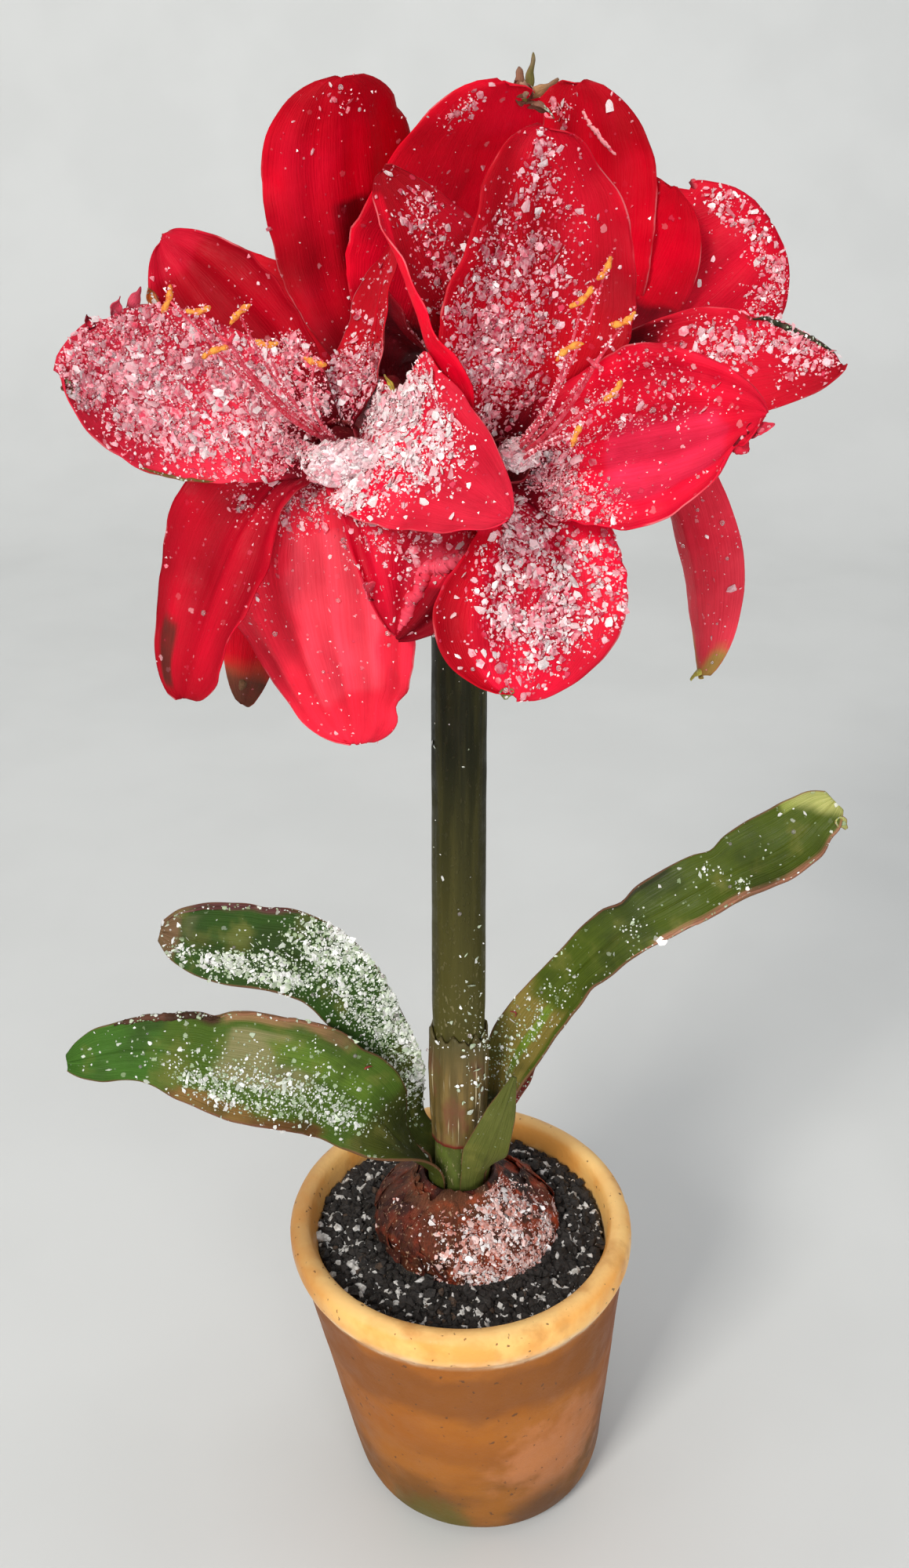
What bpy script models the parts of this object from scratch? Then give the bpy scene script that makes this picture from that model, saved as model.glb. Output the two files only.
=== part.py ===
"""Amaryllis in a clay pot: a bulb in soil, one flower stem with four blooms, and strap leaves.

Metres, +Z up, and the side usually looked at faces -Y. The origin is at the middle of the plant's
footprint, on the surface that the pot stands on, and the pot's rim is centred over it.
Every piece stands clear of its neighbour by GAP, so that each one is a solid of its own.
"""

import math
from collections import namedtuple

import bmesh
import bpy
from mathutils import Matrix, Vector, noise

GAP = 0.0003
ROUND_SIDES = 36

# Clay pot: a 12 cm pot with a rolled rim, its foot a little out of true with the rim.
POT_HEIGHT = 0.112
FOOT_OFFSET = 0.0080
POT_FLOOR = 0.011
POT_INSIDE = ((0.0380, POT_FLOOR), (0.0505, 0.1000), (0.0518, 0.1090), (0.0535, 0.1115))
POT_OUTSIDE = (
    (0.0560, 0.1120), (0.0585, 0.1112), (0.0600, 0.1090), (0.0600, 0.1035), (0.0592, 0.1005),
    (0.0574, 0.0985), (0.0543, 0.0740), (0.0500, 0.0400), (0.0462, 0.0100), (0.0448, 0.0045),
    (0.0415, 0.0010), (0.0380, 0.0),
)
DRAIN_RADIUS = 0.004
DRAIN_RING = 0.022

# Soil fills the pot to a little under the rim.
SOIL_TOP = 0.1020
SOIL_LUMP = 0.0012
SOIL_MOUND = 0.0040
SOIL_RINGS = (0.0355, 0.0390, 0.0425, 0.0465)

# Bulb: half buried, its neck open where the stem and the leaves come out.
NECK_CENTRE = Vector((-0.0005, 0.0, 0.0))
BULB_CENTRE = Vector((0.0026, 0.0024, 0.0))
NECK_TOP = 0.1310
NECK_FLOOR = 0.1185
NECK_HOLE = 0.0117
BULB_OUTSIDE = (
    (0.0125, NECK_TOP), (0.0138, 0.1302), (0.0147, 0.1270), (0.0180, 0.1240), (0.0236, 0.1205),
    (0.0290, 0.1145), (0.0320, 0.1050), (0.0326, 0.0930), (0.0306, 0.0800), (0.0250, 0.0660),
    (0.0160, 0.0550), (0.0100, 0.0520),
)
BULB_BOTTOM = 0.0500

# Flower stem, and the papery sleeve round its foot.
STEM_OUTSIDE = (
    (0.0079, 0.3300), (0.0082, 0.3050), (0.0087, 0.2000), (0.0085, 0.1940), (0.0080, 0.1480), (0.0079, 0.1192),
)
STEM_TOP = 0.3440
STEM_SIDES = 18
SLEEVE_INSIDE = ((0.0084, 0.1460), (0.0085, 0.1600), (0.0089, 0.1925))
SLEEVE_OUTSIDE = ((0.0096, 0.1918), (0.0101, 0.1750), (0.0097, 0.1600), (0.0092, 0.1465))
UMBEL = Vector((-0.0005, 0.0, 0.3410))
PEDICEL_RADIUS = 0.0034
OVARY_RADIUS = 0.0060
OVARY_LENGTH = 0.013

# Blooms: a tube, six tepals, six stamens and a style.
TUBE_LENGTH = 0.018
TUBE_RADIUS = 0.0062
TUBE_END_RADIUS = 0.0046
CLAW_RADIUS = 0.0048
TEPAL_THICKNESS = 0.0011
TEPAL_ROWS = 8
TEPAL_COLUMNS = 6
FILAMENT_RADIUS = 0.0007
ANTHER_LENGTH = 0.0095
ANTHER_RADIUS = 0.0013
ANTHER_REACH = 0.040
ANTHER_SPREAD = 0.010
STYLE_REACH = 0.050

# Leaves and bracts.
LEAF_ROOT_RADIUS = 0.0097
LEAF_ROOT = NECK_FLOOR + 2 * GAP
BLADE_COLUMNS = 4
CURVE_STEPS = 10
NECK_LIP = Vector((0.0011, 0, 0.0045))

# anthers are the ends of the six filaments from the throat; a bloom without them has them in an even ring.
Bloom = namedtuple("Bloom", "name throat axis anthers")
BLOOMS = (
    Bloom("bloom_front", Vector((0.012, -0.048, 0.388)), Vector((0.35, -0.78, 0.50)).normalized(), (
        (0.017, -0.030, 0.045), (0.012, -0.036, 0.040), (0.009, -0.040, 0.031),
        (0.021, -0.032, 0.035), (0.019, -0.038, 0.022), (0.011, -0.042, 0.014),
    )),
    Bloom("bloom_left", Vector((-0.032, -0.034, 0.389)), Vector((-0.40, -0.80, 0.45)).normalized(), (
        (-0.032, -0.026, 0.036), (-0.025, -0.030, 0.034), (-0.016, -0.032, 0.034),
        (-0.010, -0.036, 0.028), (-0.021, -0.037, 0.027), (0.000, -0.034, 0.024),
    )),
    Bloom("bloom_back_left", Vector((-0.024, 0.032, 0.390)), Vector((-0.50, 0.74, 0.45)).normalized(), ()),
    Bloom("bloom_back_right", Vector((0.026, 0.030, 0.388)), Vector((0.62, 0.64, 0.45)).normalized(), ()),
)

# One row a tepal. tip is its end from its bloom's throat; reach and spread are how far it goes forwards and
# outwards before it turns, sway how far to its right; width is the blade's full width, and widest where along
# it that is; blunt goes from 0 for a pointed end to 1; roll turns the blade about its rib towards the tip; cup turns both margins inwards and curl adds
# to the left and the right one, all in degrees; ruffle is the height of the waves in its margins.
Tepal = namedtuple("Tepal", "bloom tip reach spread sway width widest blunt roll cup curl ruffle")
TEPALS = (
    Tepal("bloom_front", (0.005, -0.004, 0.071), 0.016, 0.016, 0.002, 0.050, 0.55, 0.9, 0, 26, (0, 0), 0.0010),
    Tepal("bloom_front", (-0.030, 0.010, 0.062), 0.018, 0.014, 0, 0.036, 0.60, 0.3, 0, 24, (55, 0), 0.0010),
    Tepal("bloom_front", (0.078, 0.010, 0.020), 0.016, 0.020, -0.014, 0.030, 0.66, 0.4, 0, 25, (0, 20), 0.0020),
    Tepal("bloom_front", (0.053, -0.027, 0.015), 0.014, 0.012, 0, 0.044, 0.60, 0.5, 0, 25, (10, 0), 0.0015),
    Tepal("bloom_front", (0.000, -0.030, -0.049), 0.016, 0.014, 0, 0.050, 0.60, 1.0, 0, 18, (0, 0), 0.0015),
    Tepal("bloom_front", (-0.028, -0.011, -0.041), 0.008, 0.014, 0.003, 0.038, 0.56, 0.3, 0, 8, (0, 0), 0.0020),
    Tepal("bloom_left", (-0.058, -0.026, 0.020), 0.014, 0.016, 0.006, 0.040, 0.62, 0.9, 0, 15, (0, 0), 0.0015),
    Tepal("bloom_left", (-0.040, 0.014, 0.045), 0.018, 0.018, 0, 0.034, 0.60, 0.5, 0, 32, (0, 0), 0.0015),
    Tepal("bloom_left", (0.013, 0.022, 0.058), 0.018, 0.014, 0, 0.030, 0.60, 0.3, -60, 30, (0, 0), 0.0015),
    Tepal("bloom_left", (0.042, -0.052, -0.005), 0.020, 0.010, -0.006, 0.045, 0.48, 0.2, 0, 10, (20, 0), 0.0010),
    Tepal("bloom_left", (0.003, -0.006, -0.075), 0.010, 0.014, 0.004, 0.050, 0.62, 0.9, 0, 6, (0, 0), 0.0020),
    Tepal("bloom_left", (-0.040, -0.011, -0.064), 0.016, 0.014, 0.012, 0.036, 0.60, 0.9, 0, 24, (0, 0), 0.0020),
    Tepal("bloom_back_left", (-0.006, -0.022, 0.079), 0.020, 0.020, 0.002, 0.045, 0.70, 1.0, 0, 26, (0, 0), 0.0015),
    Tepal("bloom_back_left", (0.034, -0.032, 0.078), 0.018, 0.020, -0.012, 0.050, 0.62, 1.0, 0, 12, (0, 0), 0.0015),
    Tepal("bloom_back_left", (-0.060, 0.010, 0.030), 0.020, 0.020, 0, 0.040, 0.60, 0.6, 0, 26, (0, 0), 0.0015),
    Tepal("bloom_back_left", (-0.041, -0.022, -0.080), 0.020, 0.020, 0, 0.030, 0.60, 0.3, 0, 26, (0, 0), 0.0015),
    Tepal("bloom_back_left", (0.031, -0.028, 0.000), 0.016, 0.016, 0, 0.056, 0.62, 0.9, 0, 22, (0, 0), 0.0015),
    Tepal("bloom_back_left", (-0.010, 0.040, -0.050), 0.020, 0.020, 0, 0.042, 0.60, 0.6, 0, 26, (0, 0), 0.0015),
    Tepal("bloom_back_right", (0.004, -0.014, 0.080), 0.020, 0.020, 0, 0.048, 0.60, 1.0, 0, 26, (0, 0), 0.0015),
    Tepal("bloom_back_right", (0.028, -0.020, 0.056), 0.020, 0.020, 0, 0.038, 0.60, 0.9, 0, 26, (0, 0), 0.0015),
    Tepal("bloom_back_right", (0.058, -0.015, 0.046), 0.020, 0.020, 0, 0.052, 0.66, 1.0, 0, 26, (0, 0), 0.0015),
    Tepal("bloom_back_right", (0.043, -0.035, -0.073), 0.020, 0.020, 0.030, 0.032, 0.70, 0.8, 0, 50, (0, 0), 0.0015),
    Tepal("bloom_back_right", (0.010, 0.050, 0.040), 0.020, 0.020, 0, 0.042, 0.60, 0.6, 0, 26, (0, 0), 0.0015),
    Tepal("bloom_back_right", (0.014, 0.044, -0.045), 0.020, 0.020, 0, 0.042, 0.60, 0.6, 0, 26, (0, 0), 0.0015),
)


# One row a leaf or bract. angle is where its root stands round the neck, in degrees; path the rib's points
# above that; face the way that the blade's upper face looks, or for a bract the way that its width lies; widths pairs of share of length and width;
# fold the turn of each half of the blade inwards, in degrees; edge the height of the waves in its margins.
Leaf = namedtuple("Leaf", "name angle path face widths fold edge thickness rows")
LEAVES = (
    Leaf(
        "leaf_upper_left", 140,
        ((-0.0174, 0.006, 0.1476), (-0.0210, 0.003, 0.1716), (-0.0300, 0.000, 0.1929), (-0.0418, -0.003, 0.2132),
         (-0.0561, -0.005, 0.2228), (-0.0728, -0.007, 0.2266), (-0.0930, -0.009, 0.2322)),
        (0.10, -0.80, 0.60),
        ((0, 0.0090), (0.15, 0.0100), (0.38, 0.0180), (0.55, 0.0235), (0.75, 0.0270), (0.86, 0.0262),
         (0.93, 0.0225), (0.975, 0.0155), (1, 0.0060)),
        10, 0.0006, 0.0022, 18,
    ),
    Leaf(
        "leaf_lower_left", 212,
        ((-0.0196, -0.009, 0.1476), (-0.0299, -0.014, 0.1672), (-0.0442, -0.019, 0.1822), (-0.0603, -0.023, 0.1896),
         (-0.0788, -0.026, 0.1964), (-0.0978, -0.029, 0.2025), (-0.1200, -0.032, 0.1997)),
        (0.00, -0.80, 0.60),
        ((0, 0.0095), (0.10, 0.0100), (0.22, 0.0200), (0.36, 0.0310), (0.50, 0.0350), (0.66, 0.0345),
         (0.76, 0.0280), (0.86, 0.0190), (0.94, 0.0165), (0.98, 0.0110), (1, 0.0050)),
        12, 0.0010, 0.0024, 18,
    ),
    Leaf(
        "leaf_right", 5,
        ((0.0138, 0.0036, 0.1530), (0.0190, 0.0048, 0.1772), (0.0300, 0.0040, 0.1979), (0.0498, 0.0030, 0.2229),
         (0.0655, 0.0030, 0.2340), (0.0843, 0.0030, 0.2468), (0.1006, 0.0040, 0.2559), (0.1150, 0.0060, 0.2699)),
        (-0.20, -0.75, 0.60),
        ((0, 0.0090), (0.10, 0.0098), (0.20, 0.0160), (0.32, 0.0210), (0.50, 0.0180), (0.70, 0.0200),
         (0.86, 0.0225), (0.94, 0.0215), (0.98, 0.0160), (1, 0.0080)),
        30, 0.0016, 0.0022, 20,
    ),
    Leaf(
        "leaf_short", -58,
        ((0.0090, -0.0130, 0.1500), (0.0139, -0.0145, 0.1680), (0.0173, -0.0152, 0.1812)),
        (0.20, 0.80, 0.50),
        ((0, 0.0090), (0.25, 0.0100), (0.45, 0.0155), (0.75, 0.0100), (1, 0.0018)),
        4, 0, 0.0016, 8,
    ),
    Leaf(
        "leaf_back", 78,
        ((0.0100, 0.0140, 0.1400), (0.0190, 0.0170, 0.1500), (0.0272, 0.0190, 0.1637)),
        (-0.60, -0.60, 0.50),
        ((0, 0.0070), (0.50, 0.0095), (0.85, 0.0070), (1, 0.0020)),
        20, 0, 0.0014, 8,
    ),
)
# The bracts hang from the umbel; each path starts under it.
BRACTS = (
    Leaf(
        "spathe_left", 0,
        ((-0.0090, 0.0030, 0.3290), (-0.0098, 0.0034, 0.3350), (-0.0140, 0.0055, 0.3410), (-0.0230, 0.0100, 0.3400),
         (-0.0320, 0.0140, 0.3280)),
        (-0.40, -0.90, 0.00),
        ((0, 0.0080), (0.35, 0.0170), (0.75, 0.0110), (1, 0.0020)),
        12, 0.0006, 0.0009, 9,
    ),
    Leaf(
        "spathe_right", 0,
        ((0.0068, 0.0055, 0.3290), (0.0075, 0.0062, 0.3350), (0.0110, 0.0095, 0.3410), (0.0190, 0.0170, 0.3400),
         (0.0260, 0.0240, 0.3280)),
        (0.70, -0.70, 0.00),
        ((0, 0.0080), (0.35, 0.0160), (0.75, 0.0110), (1, 0.0020)),
        12, 0.0006, 0.0009, 9,
    ),
)


def smooth(x):
    """0 below 0, 1 above 1, and an easy turn between."""
    x = min(1.0, max(0.0, x))
    return x * x * (3 - 2 * x)


def quadratic(a, b, c, t):
    """Point and direction at t on the curve from a to c that leaves a towards b."""
    point = a * (1 - t) ** 2 + b * 2 * t * (1 - t) + c * t * t
    direction = (b - a) * (1 - t) + (c - b) * t
    return point, direction.normalized()


def blade_width(t, root, widest, tip, blunt):
    """Share of the full width at t along a blade, from its root to its pointed or blunt end."""
    if t < widest:
        return root + (1 - root) * math.sin(math.pi / 2 * t / widest) ** 1.3
    end = (t - widest) / (1 - widest)
    pointed = max(0.0, 1 - end**1.7) ** 0.95
    rounded = max(0.0, 1 - end**2.6) ** 0.5
    return tip + (1 - tip) * (pointed + (rounded - pointed) * blunt)


def tepal_point(tepal, throat, axis, along, across):
    """A point of the tepal's face; along runs 0 to 1 from claw to tip, across -1 to 1 from left to right."""
    tip = throat + Vector(tepal.tip)
    radial = tip - throat
    radial = (radial - axis * radial.dot(axis)).normalized()
    claw = throat + radial * CLAW_RADIUS - axis * 0.004
    elbow = claw + axis * tepal.reach + radial * tepal.spread + radial.cross(axis) * tepal.sway
    rib, tangent = quadratic(claw, elbow, tip, along)
    side = radial.cross(axis)
    side = (side - tangent * side.dot(tangent)).normalized()
    side.rotate(Matrix.Rotation(math.radians(tepal.roll) * smooth(along), 3, tangent))
    inward = side.cross(tangent)
    half = tepal.width / 2 * blade_width(along, 0.20, tepal.widest, 0.05, tepal.blunt)
    hand = -1 if across < 0 else 1
    curl = math.radians(tepal.curl[0 if hand < 0 else 1]) * smooth(along * 2.5) * smooth((1 - along) * 4)
    cup = math.radians(tepal.cup) * (1.9 - 1.1 * along)
    steps = 6
    x = y = 0.0
    for step in range(steps):
        v = abs(across) * (step + 0.5) / steps
        angle = cup * v + curl * smooth((v - 0.45) / 0.45)
        x += math.cos(angle) * half * abs(across) / steps
        y += math.sin(angle) * half * abs(across) / steps
    wave = math.sin(along * 11 + hand * 1.3 + tepal.width * 900)
    y += tepal.ruffle * wave * across * across * smooth(along * 2)
    return rib + side * (x * hand) + inward * y


def curve_through(points):
    """Close steps along a soft curve through the points, each with its distance from the start."""
    steps = []
    length = 0.0
    last = len(points) - 1
    for start in range(last):
        b, c = points[start], points[start + 1]
        a = points[start - 1] if start > 0 else b * 2 - c
        d = points[start + 2] if start < last - 1 else c * 2 - b
        for index in range(CURVE_STEPS + (start == last - 1)):
            t = index / CURVE_STEPS
            point = b * 2 + (c - a) * t + (a * 2 - b * 5 + c * 4 - d) * t**2 + (b * 3 - a - c * 3 + d) * t**3
            point /= 2
            if steps:
                length += (point - steps[-1][0]).length
            steps.append((point, length))
    return steps


def curve_point(steps, share):
    """Point and direction at a share, 0 to 1, of the curve's length."""
    distance = share * steps[-1][1]
    index = 1
    while index < len(steps) - 1 and steps[index][1] < distance:
        index += 1
    (first, low), (second, high) = steps[index - 1], steps[index]
    point = first.lerp(second, (distance - low) / (high - low))
    before = steps[max(0, index - 3)][0]
    after = steps[min(len(steps) - 1, index + 2)][0]
    return point, (after - before).normalized()


def pair_value(pairs, share):
    """The value at share, on the straight line between the pairs (share, value) on each side of it."""
    for (low, first), (high, second) in zip(pairs, pairs[1:]):
        if share <= high:
            return first + (second - first) * (share - low) / (high - low)
    return pairs[-1][1]


def leaf_curve(leaf, rooted):
    """The rib as curve_through gives it, its share of length inside the neck, and the way to the stem."""
    points = [Vector(point) for point in leaf.path]
    if not rooted:
        return curve_through(points), 0.0, None
    angle = math.radians(leaf.angle)
    outward = Vector((math.cos(angle), math.sin(angle), 0))
    foot = NECK_CENTRE + outward * LEAF_ROOT_RADIUS
    low = foot + Vector((0, 0, LEAF_ROOT))
    high = foot + Vector((0, 0, NECK_TOP))
    lip = high + outward * NECK_LIP.x + Vector((0, 0, NECK_LIP.z))
    steps = curve_through([low, high, lip] + points)
    return steps, (NECK_TOP - LEAF_ROOT) / steps[-1][1], -outward


def leaf_point(leaf, curve, along, across):
    """A point of the blade's middle; along runs 0 to 1 from root to tip, across -1 to 1 from left to right."""
    steps, neck, inward = curve
    rib, tangent = curve_point(steps, along)
    blade = Vector(leaf.face).normalized()
    free = 1.0
    root_bend = 0.0
    if inward is not None:
        free = smooth((along - neck) / 0.35)
        root_bend = pair_value(leaf.widths, along) / 2 / LEAF_ROOT_RADIUS
        blade = inward.lerp(blade, free)
        side = tangent.cross(blade).normalized()
    else:
        side = (blade - tangent * blade.dot(tangent)).normalized()
    upper = side.cross(tangent)
    half = pair_value(leaf.widths, along) / 2
    bend = root_bend * (1 - free) + math.radians(leaf.fold) * free
    steps = 6
    x = y = 0.0
    for step in range(steps):
        angle = bend * abs(across) * (step + 0.5) / steps
        x += math.cos(angle) * half * abs(across) / steps
        y += math.sin(angle) * half * abs(across) / steps
    hand = -1 if across < 0 else 1
    wave = math.sin(along * 17 + hand * 1.1 + leaf.angle)
    y += leaf.edge * wave * across * across * free
    return rib + side * (x * hand) + upper * y


def new_material(name, colour, roughness):
    material = bpy.data.materials.new(name)
    material.use_nodes = True
    shader = material.node_tree.nodes["Principled BSDF"]
    shader.inputs["Base Color"].default_value = (*colour, 1)
    shader.inputs["Roughness"].default_value = roughness
    return material


def clear_scene():
    for obj in list(bpy.data.objects):
        bpy.data.objects.remove(obj)


def new_collection(name):
    collection = bpy.data.collections.new(name)
    bpy.context.scene.collection.children.link(collection)
    return collection


def new_object(name, data, collection):
    obj = bpy.data.objects.new(name, data)
    collection.objects.link(obj)
    return obj


def sheet_mesh(name, rows, columns, place):
    """A grid of triangles, place(along, across) giving each corner, with along and across from 0 to 1."""
    grid = bmesh.new()
    bmesh.ops.create_grid(grid, x_segments=columns, y_segments=rows, size=0.5)
    for corner in grid.verts:
        corner.co = place(corner.co.y + 0.5, corner.co.x + 0.5)
    bmesh.ops.triangulate(grid, faces=grid.faces)
    mesh = bpy.data.meshes.new(name)
    grid.to_mesh(mesh)
    grid.free()
    return mesh


def thicken(obj, thickness):
    solidify = obj.modifiers.new("Thickness", "SOLIDIFY")
    solidify.thickness = thickness
    solidify.offset = 0
    return obj


def turned(name, profile, sides, collection):
    """The profile, points (radius, height) down the outer side, turned round Z."""
    mesh = bpy.data.meshes.new(name)
    corners = [(radius, 0, height) for radius, height in profile]
    closed = profile[0][0] > 0
    edges = [(i, (i + 1) % len(corners)) for i in range(len(corners) - (0 if closed else 1))]
    mesh.from_pydata(corners, edges, [])
    obj = new_object(name, mesh, collection)
    screw = obj.modifiers.new("Turn", "SCREW")
    screw.steps = sides
    screw.render_steps = sides
    screw.use_merge_vertices = True
    screw.merge_threshold = 0.00001
    return obj


def baked(obj, collection):
    """The object as its modifiers leave it, as a plain mesh object of the same name."""
    bpy.context.view_layer.update()
    graph = bpy.context.evaluated_depsgraph_get()
    mesh = bpy.data.meshes.new_from_object(obj.evaluated_get(graph))
    mesh.transform(obj.matrix_world)
    work = bmesh.new()
    work.from_mesh(mesh)
    bmesh.ops.remove_doubles(work, verts=work.verts, dist=1e-6)
    bmesh.ops.recalc_face_normals(work, faces=work.faces)
    work.to_mesh(mesh)
    work.free()
    name = obj.name
    bpy.data.objects.remove(obj)
    return new_object(name, mesh, collection)


def combined(body, others, operation, collection):
    """body joined with the others, or cut by them, as one solid."""
    group = bpy.data.collections.new("operands")
    for other in others:
        group.objects.link(other)
    boolean = body.modifiers.new("Combine", "BOOLEAN")
    boolean.operation = operation
    boolean.operand_type = "COLLECTION"
    boolean.collection = group
    boolean.solver = "MANIFOLD"
    whole = baked(body, collection)
    for other in others:
        bpy.data.objects.remove(other)
    bpy.data.collections.remove(group)
    return whole


def rod(name, points, radii, collection, sides=6):
    """A round rod through the points, with a radius at each of them and flat ends."""
    curve = bpy.data.curves.new(name, "CURVE")
    curve.dimensions = "3D"
    curve.bevel_depth = 1.0
    curve.bevel_resolution = (sides - 4) // 2
    curve.use_fill_caps = True
    spline = curve.splines.new("POLY")
    spline.points.add(len(points) - 1)
    for target, point, radius in zip(spline.points, points, radii):
        target.co = (*point, 1)
        target.radius = radius
    return baked(new_object(name, curve, collection), collection)


def moved(obj, place):
    """The object with each corner put where place(corner) says."""
    for corner in obj.data.vertices:
        corner.co = place(corner.co)
    return obj


def painted(obj, colour, roughness):
    material = new_material(obj.name, colour, roughness)
    obj.data.materials.clear()
    obj.data.materials.append(material)
    return obj


def pot_lean(corner):
    """The pot's foot stands a little to the right of its rim."""
    share = min(1.0, max(0.0, corner.z / POT_HEIGHT))
    return corner + Vector((FOOT_OFFSET * (1 - share), 0, 0))


def bulb_lean(corner):
    """The bulb's body is a little off the middle of its neck."""
    share = smooth((corner.z - 0.108) / (NECK_FLOOR - 0.108))
    return corner + BULB_CENTRE.lerp(NECK_CENTRE, share)


def make_pot(collection):
    profile = ((0, POT_FLOOR),) + POT_INSIDE + POT_OUTSIDE + ((0, 0),)
    pot = moved(baked(turned("pot", profile, ROUND_SIDES, collection), collection), pot_lean)
    drains = []
    for turn in range(3):
        angle = math.radians(90 + 120 * turn)
        hole = ((0, POT_FLOOR + 0.001), (DRAIN_RADIUS, POT_FLOOR + 0.001), (DRAIN_RADIUS, -0.001), (0, -0.001))
        drain = baked(turned("drain", hole, 16, collection), collection)
        middle = Vector((math.cos(angle), math.sin(angle), 0)) * DRAIN_RING
        drains.append(moved(drain, lambda corner: corner + middle))
    pot = combined(pot, drains, "DIFFERENCE", collection)
    return painted(pot, (0.62, 0.30, 0.12), 0.85)


def make_soil(collection):
    """Soil between the pot and the bulb, with a lumpy top and a hole that the bulb stands in."""
    hole = [(radius + GAP, height) for radius, height in BULB_OUTSIDE if height < SOIL_TOP + SOIL_MOUND]
    top = []
    for index, radius in enumerate(SOIL_RINGS):
        top.append((radius, SOIL_TOP + SOIL_MOUND * smooth(0.9 - index * 0.35)))
    inside = [(radius - GAP, height) for radius, height in POT_INSIDE if height < SOIL_TOP]
    low = [(radius, height - GAP) for radius, height in hole[-2:]]
    profile = [(0, BULB_BOTTOM - GAP)] + low[::-1] + hole[-3::-1]
    profile += [(hole[0][0] + 0.0004, SOIL_TOP + SOIL_MOUND + 0.0006)] + top + [(inside[-1][0] - GAP, SOIL_TOP - 0.001)]
    profile += [(inside[-1][0] - GAP, inside[-1][1] - 0.001), (inside[0][0], POT_FLOOR + GAP), (0, POT_FLOOR + GAP)]
    soil = baked(turned("soil", profile, ROUND_SIDES, collection), collection)

    def place(corner):
        radius = math.hypot(corner.x, corner.y)
        out = smooth((radius - SOIL_RINGS[0]) / (SOIL_RINGS[-1] - SOIL_RINGS[0]))
        if corner.z < BULB_BOTTOM - 0.001:
            out = 1.0
        moved_to = (corner + BULB_CENTRE).lerp(pot_lean(corner), out)
        if corner.z > SOIL_TOP - 0.0005 and radius > SOIL_RINGS[0] - 0.001:
            moved_to.z += SOIL_LUMP * noise.noise(corner * 160)
        return moved_to

    return painted(moved(soil, place), (0.02, 0.017, 0.015), 0.95)


def make_bulb(collection):
    profile = ((0, NECK_FLOOR), (NECK_HOLE, NECK_FLOOR), (NECK_HOLE, NECK_TOP - 0.0006))
    profile += BULB_OUTSIDE + ((0, BULB_BOTTOM),)
    bulb = baked(turned("bulb", profile, ROUND_SIDES, collection), collection)
    return painted(moved(bulb, bulb_lean), (0.30, 0.09, 0.04), 0.7)


def bloom_tube_end(bloom):
    return bloom.throat - bloom.axis * TUBE_LENGTH


def make_stem(collection):
    """The stem, and the four short flower stalks with their ovaries that fan out of its top."""
    profile = ((0, STEM_TOP),) + ((0.0045, STEM_TOP - 0.001), (0.0070, STEM_TOP - 0.005)) + STEM_OUTSIDE
    profile += ((0, STEM_OUTSIDE[-1][1]),)
    stem = baked(turned("stem", profile, STEM_SIDES, collection), collection)
    moved(stem, lambda corner: corner + NECK_CENTRE)
    stalks = []
    for bloom in BLOOMS:
        end = bloom_tube_end(bloom) - bloom.axis * GAP
        low = UMBEL + (end - UMBEL).normalized() * 0.002
        waist = end - bloom.axis * OVARY_LENGTH
        points = [low]
        for share in (0.35, 0.70, 1.0):
            points.append(quadratic(low, low.lerp(waist, 0.5) + Vector((0, 0, 0.004)), waist, share)[0])
        radii = [PEDICEL_RADIUS] * 4
        for share, radius in ((0.30, 0.90), (0.60, 1.0), (0.88, 0.92), (1.0, 0.72)):
            points.append(waist + bloom.axis * OVARY_LENGTH * share)
            radii.append(OVARY_RADIUS * radius)
        stalks.append(rod("stalk", points, radii, collection, 10))
    stem = combined(stem, stalks, "UNION", collection)
    return painted(stem, (0.10, 0.13, 0.03), 0.5)


def make_sleeve(collection):
    sleeve = baked(turned("stem_sleeve", SLEEVE_INSIDE + SLEEVE_OUTSIDE, STEM_SIDES, collection), collection)
    moved(sleeve, lambda corner: corner + NECK_CENTRE)
    return painted(sleeve, (0.20, 0.14, 0.07), 0.6)


def make_blade(leaf, collection, colour, rooted=True):
    curve = leaf_curve(leaf, rooted)
    mesh = sheet_mesh(
        leaf.name, leaf.rows, BLADE_COLUMNS,
        lambda along, across: leaf_point(leaf, curve, 1 - (1 - along) ** 1.3, across * 2 - 1),
    )
    blade = baked(thicken(new_object(leaf.name, mesh, collection), leaf.thickness), collection)
    return painted(blade, colour, 0.5)


def anther_ends(bloom):
    if bloom.anthers:
        return [bloom.throat + Vector(end) for end in bloom.anthers]
    across = bloom.axis.orthogonal().normalized()
    ends = []
    for turn in range(6):
        out = across.copy()
        out.rotate(Matrix.Rotation(math.radians(60 * turn), 3, bloom.axis))
        reach = ANTHER_REACH + 0.004 * (turn % 2)
        ends.append(bloom.throat + bloom.axis * reach + out * ANTHER_SPREAD)
    return ends


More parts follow.
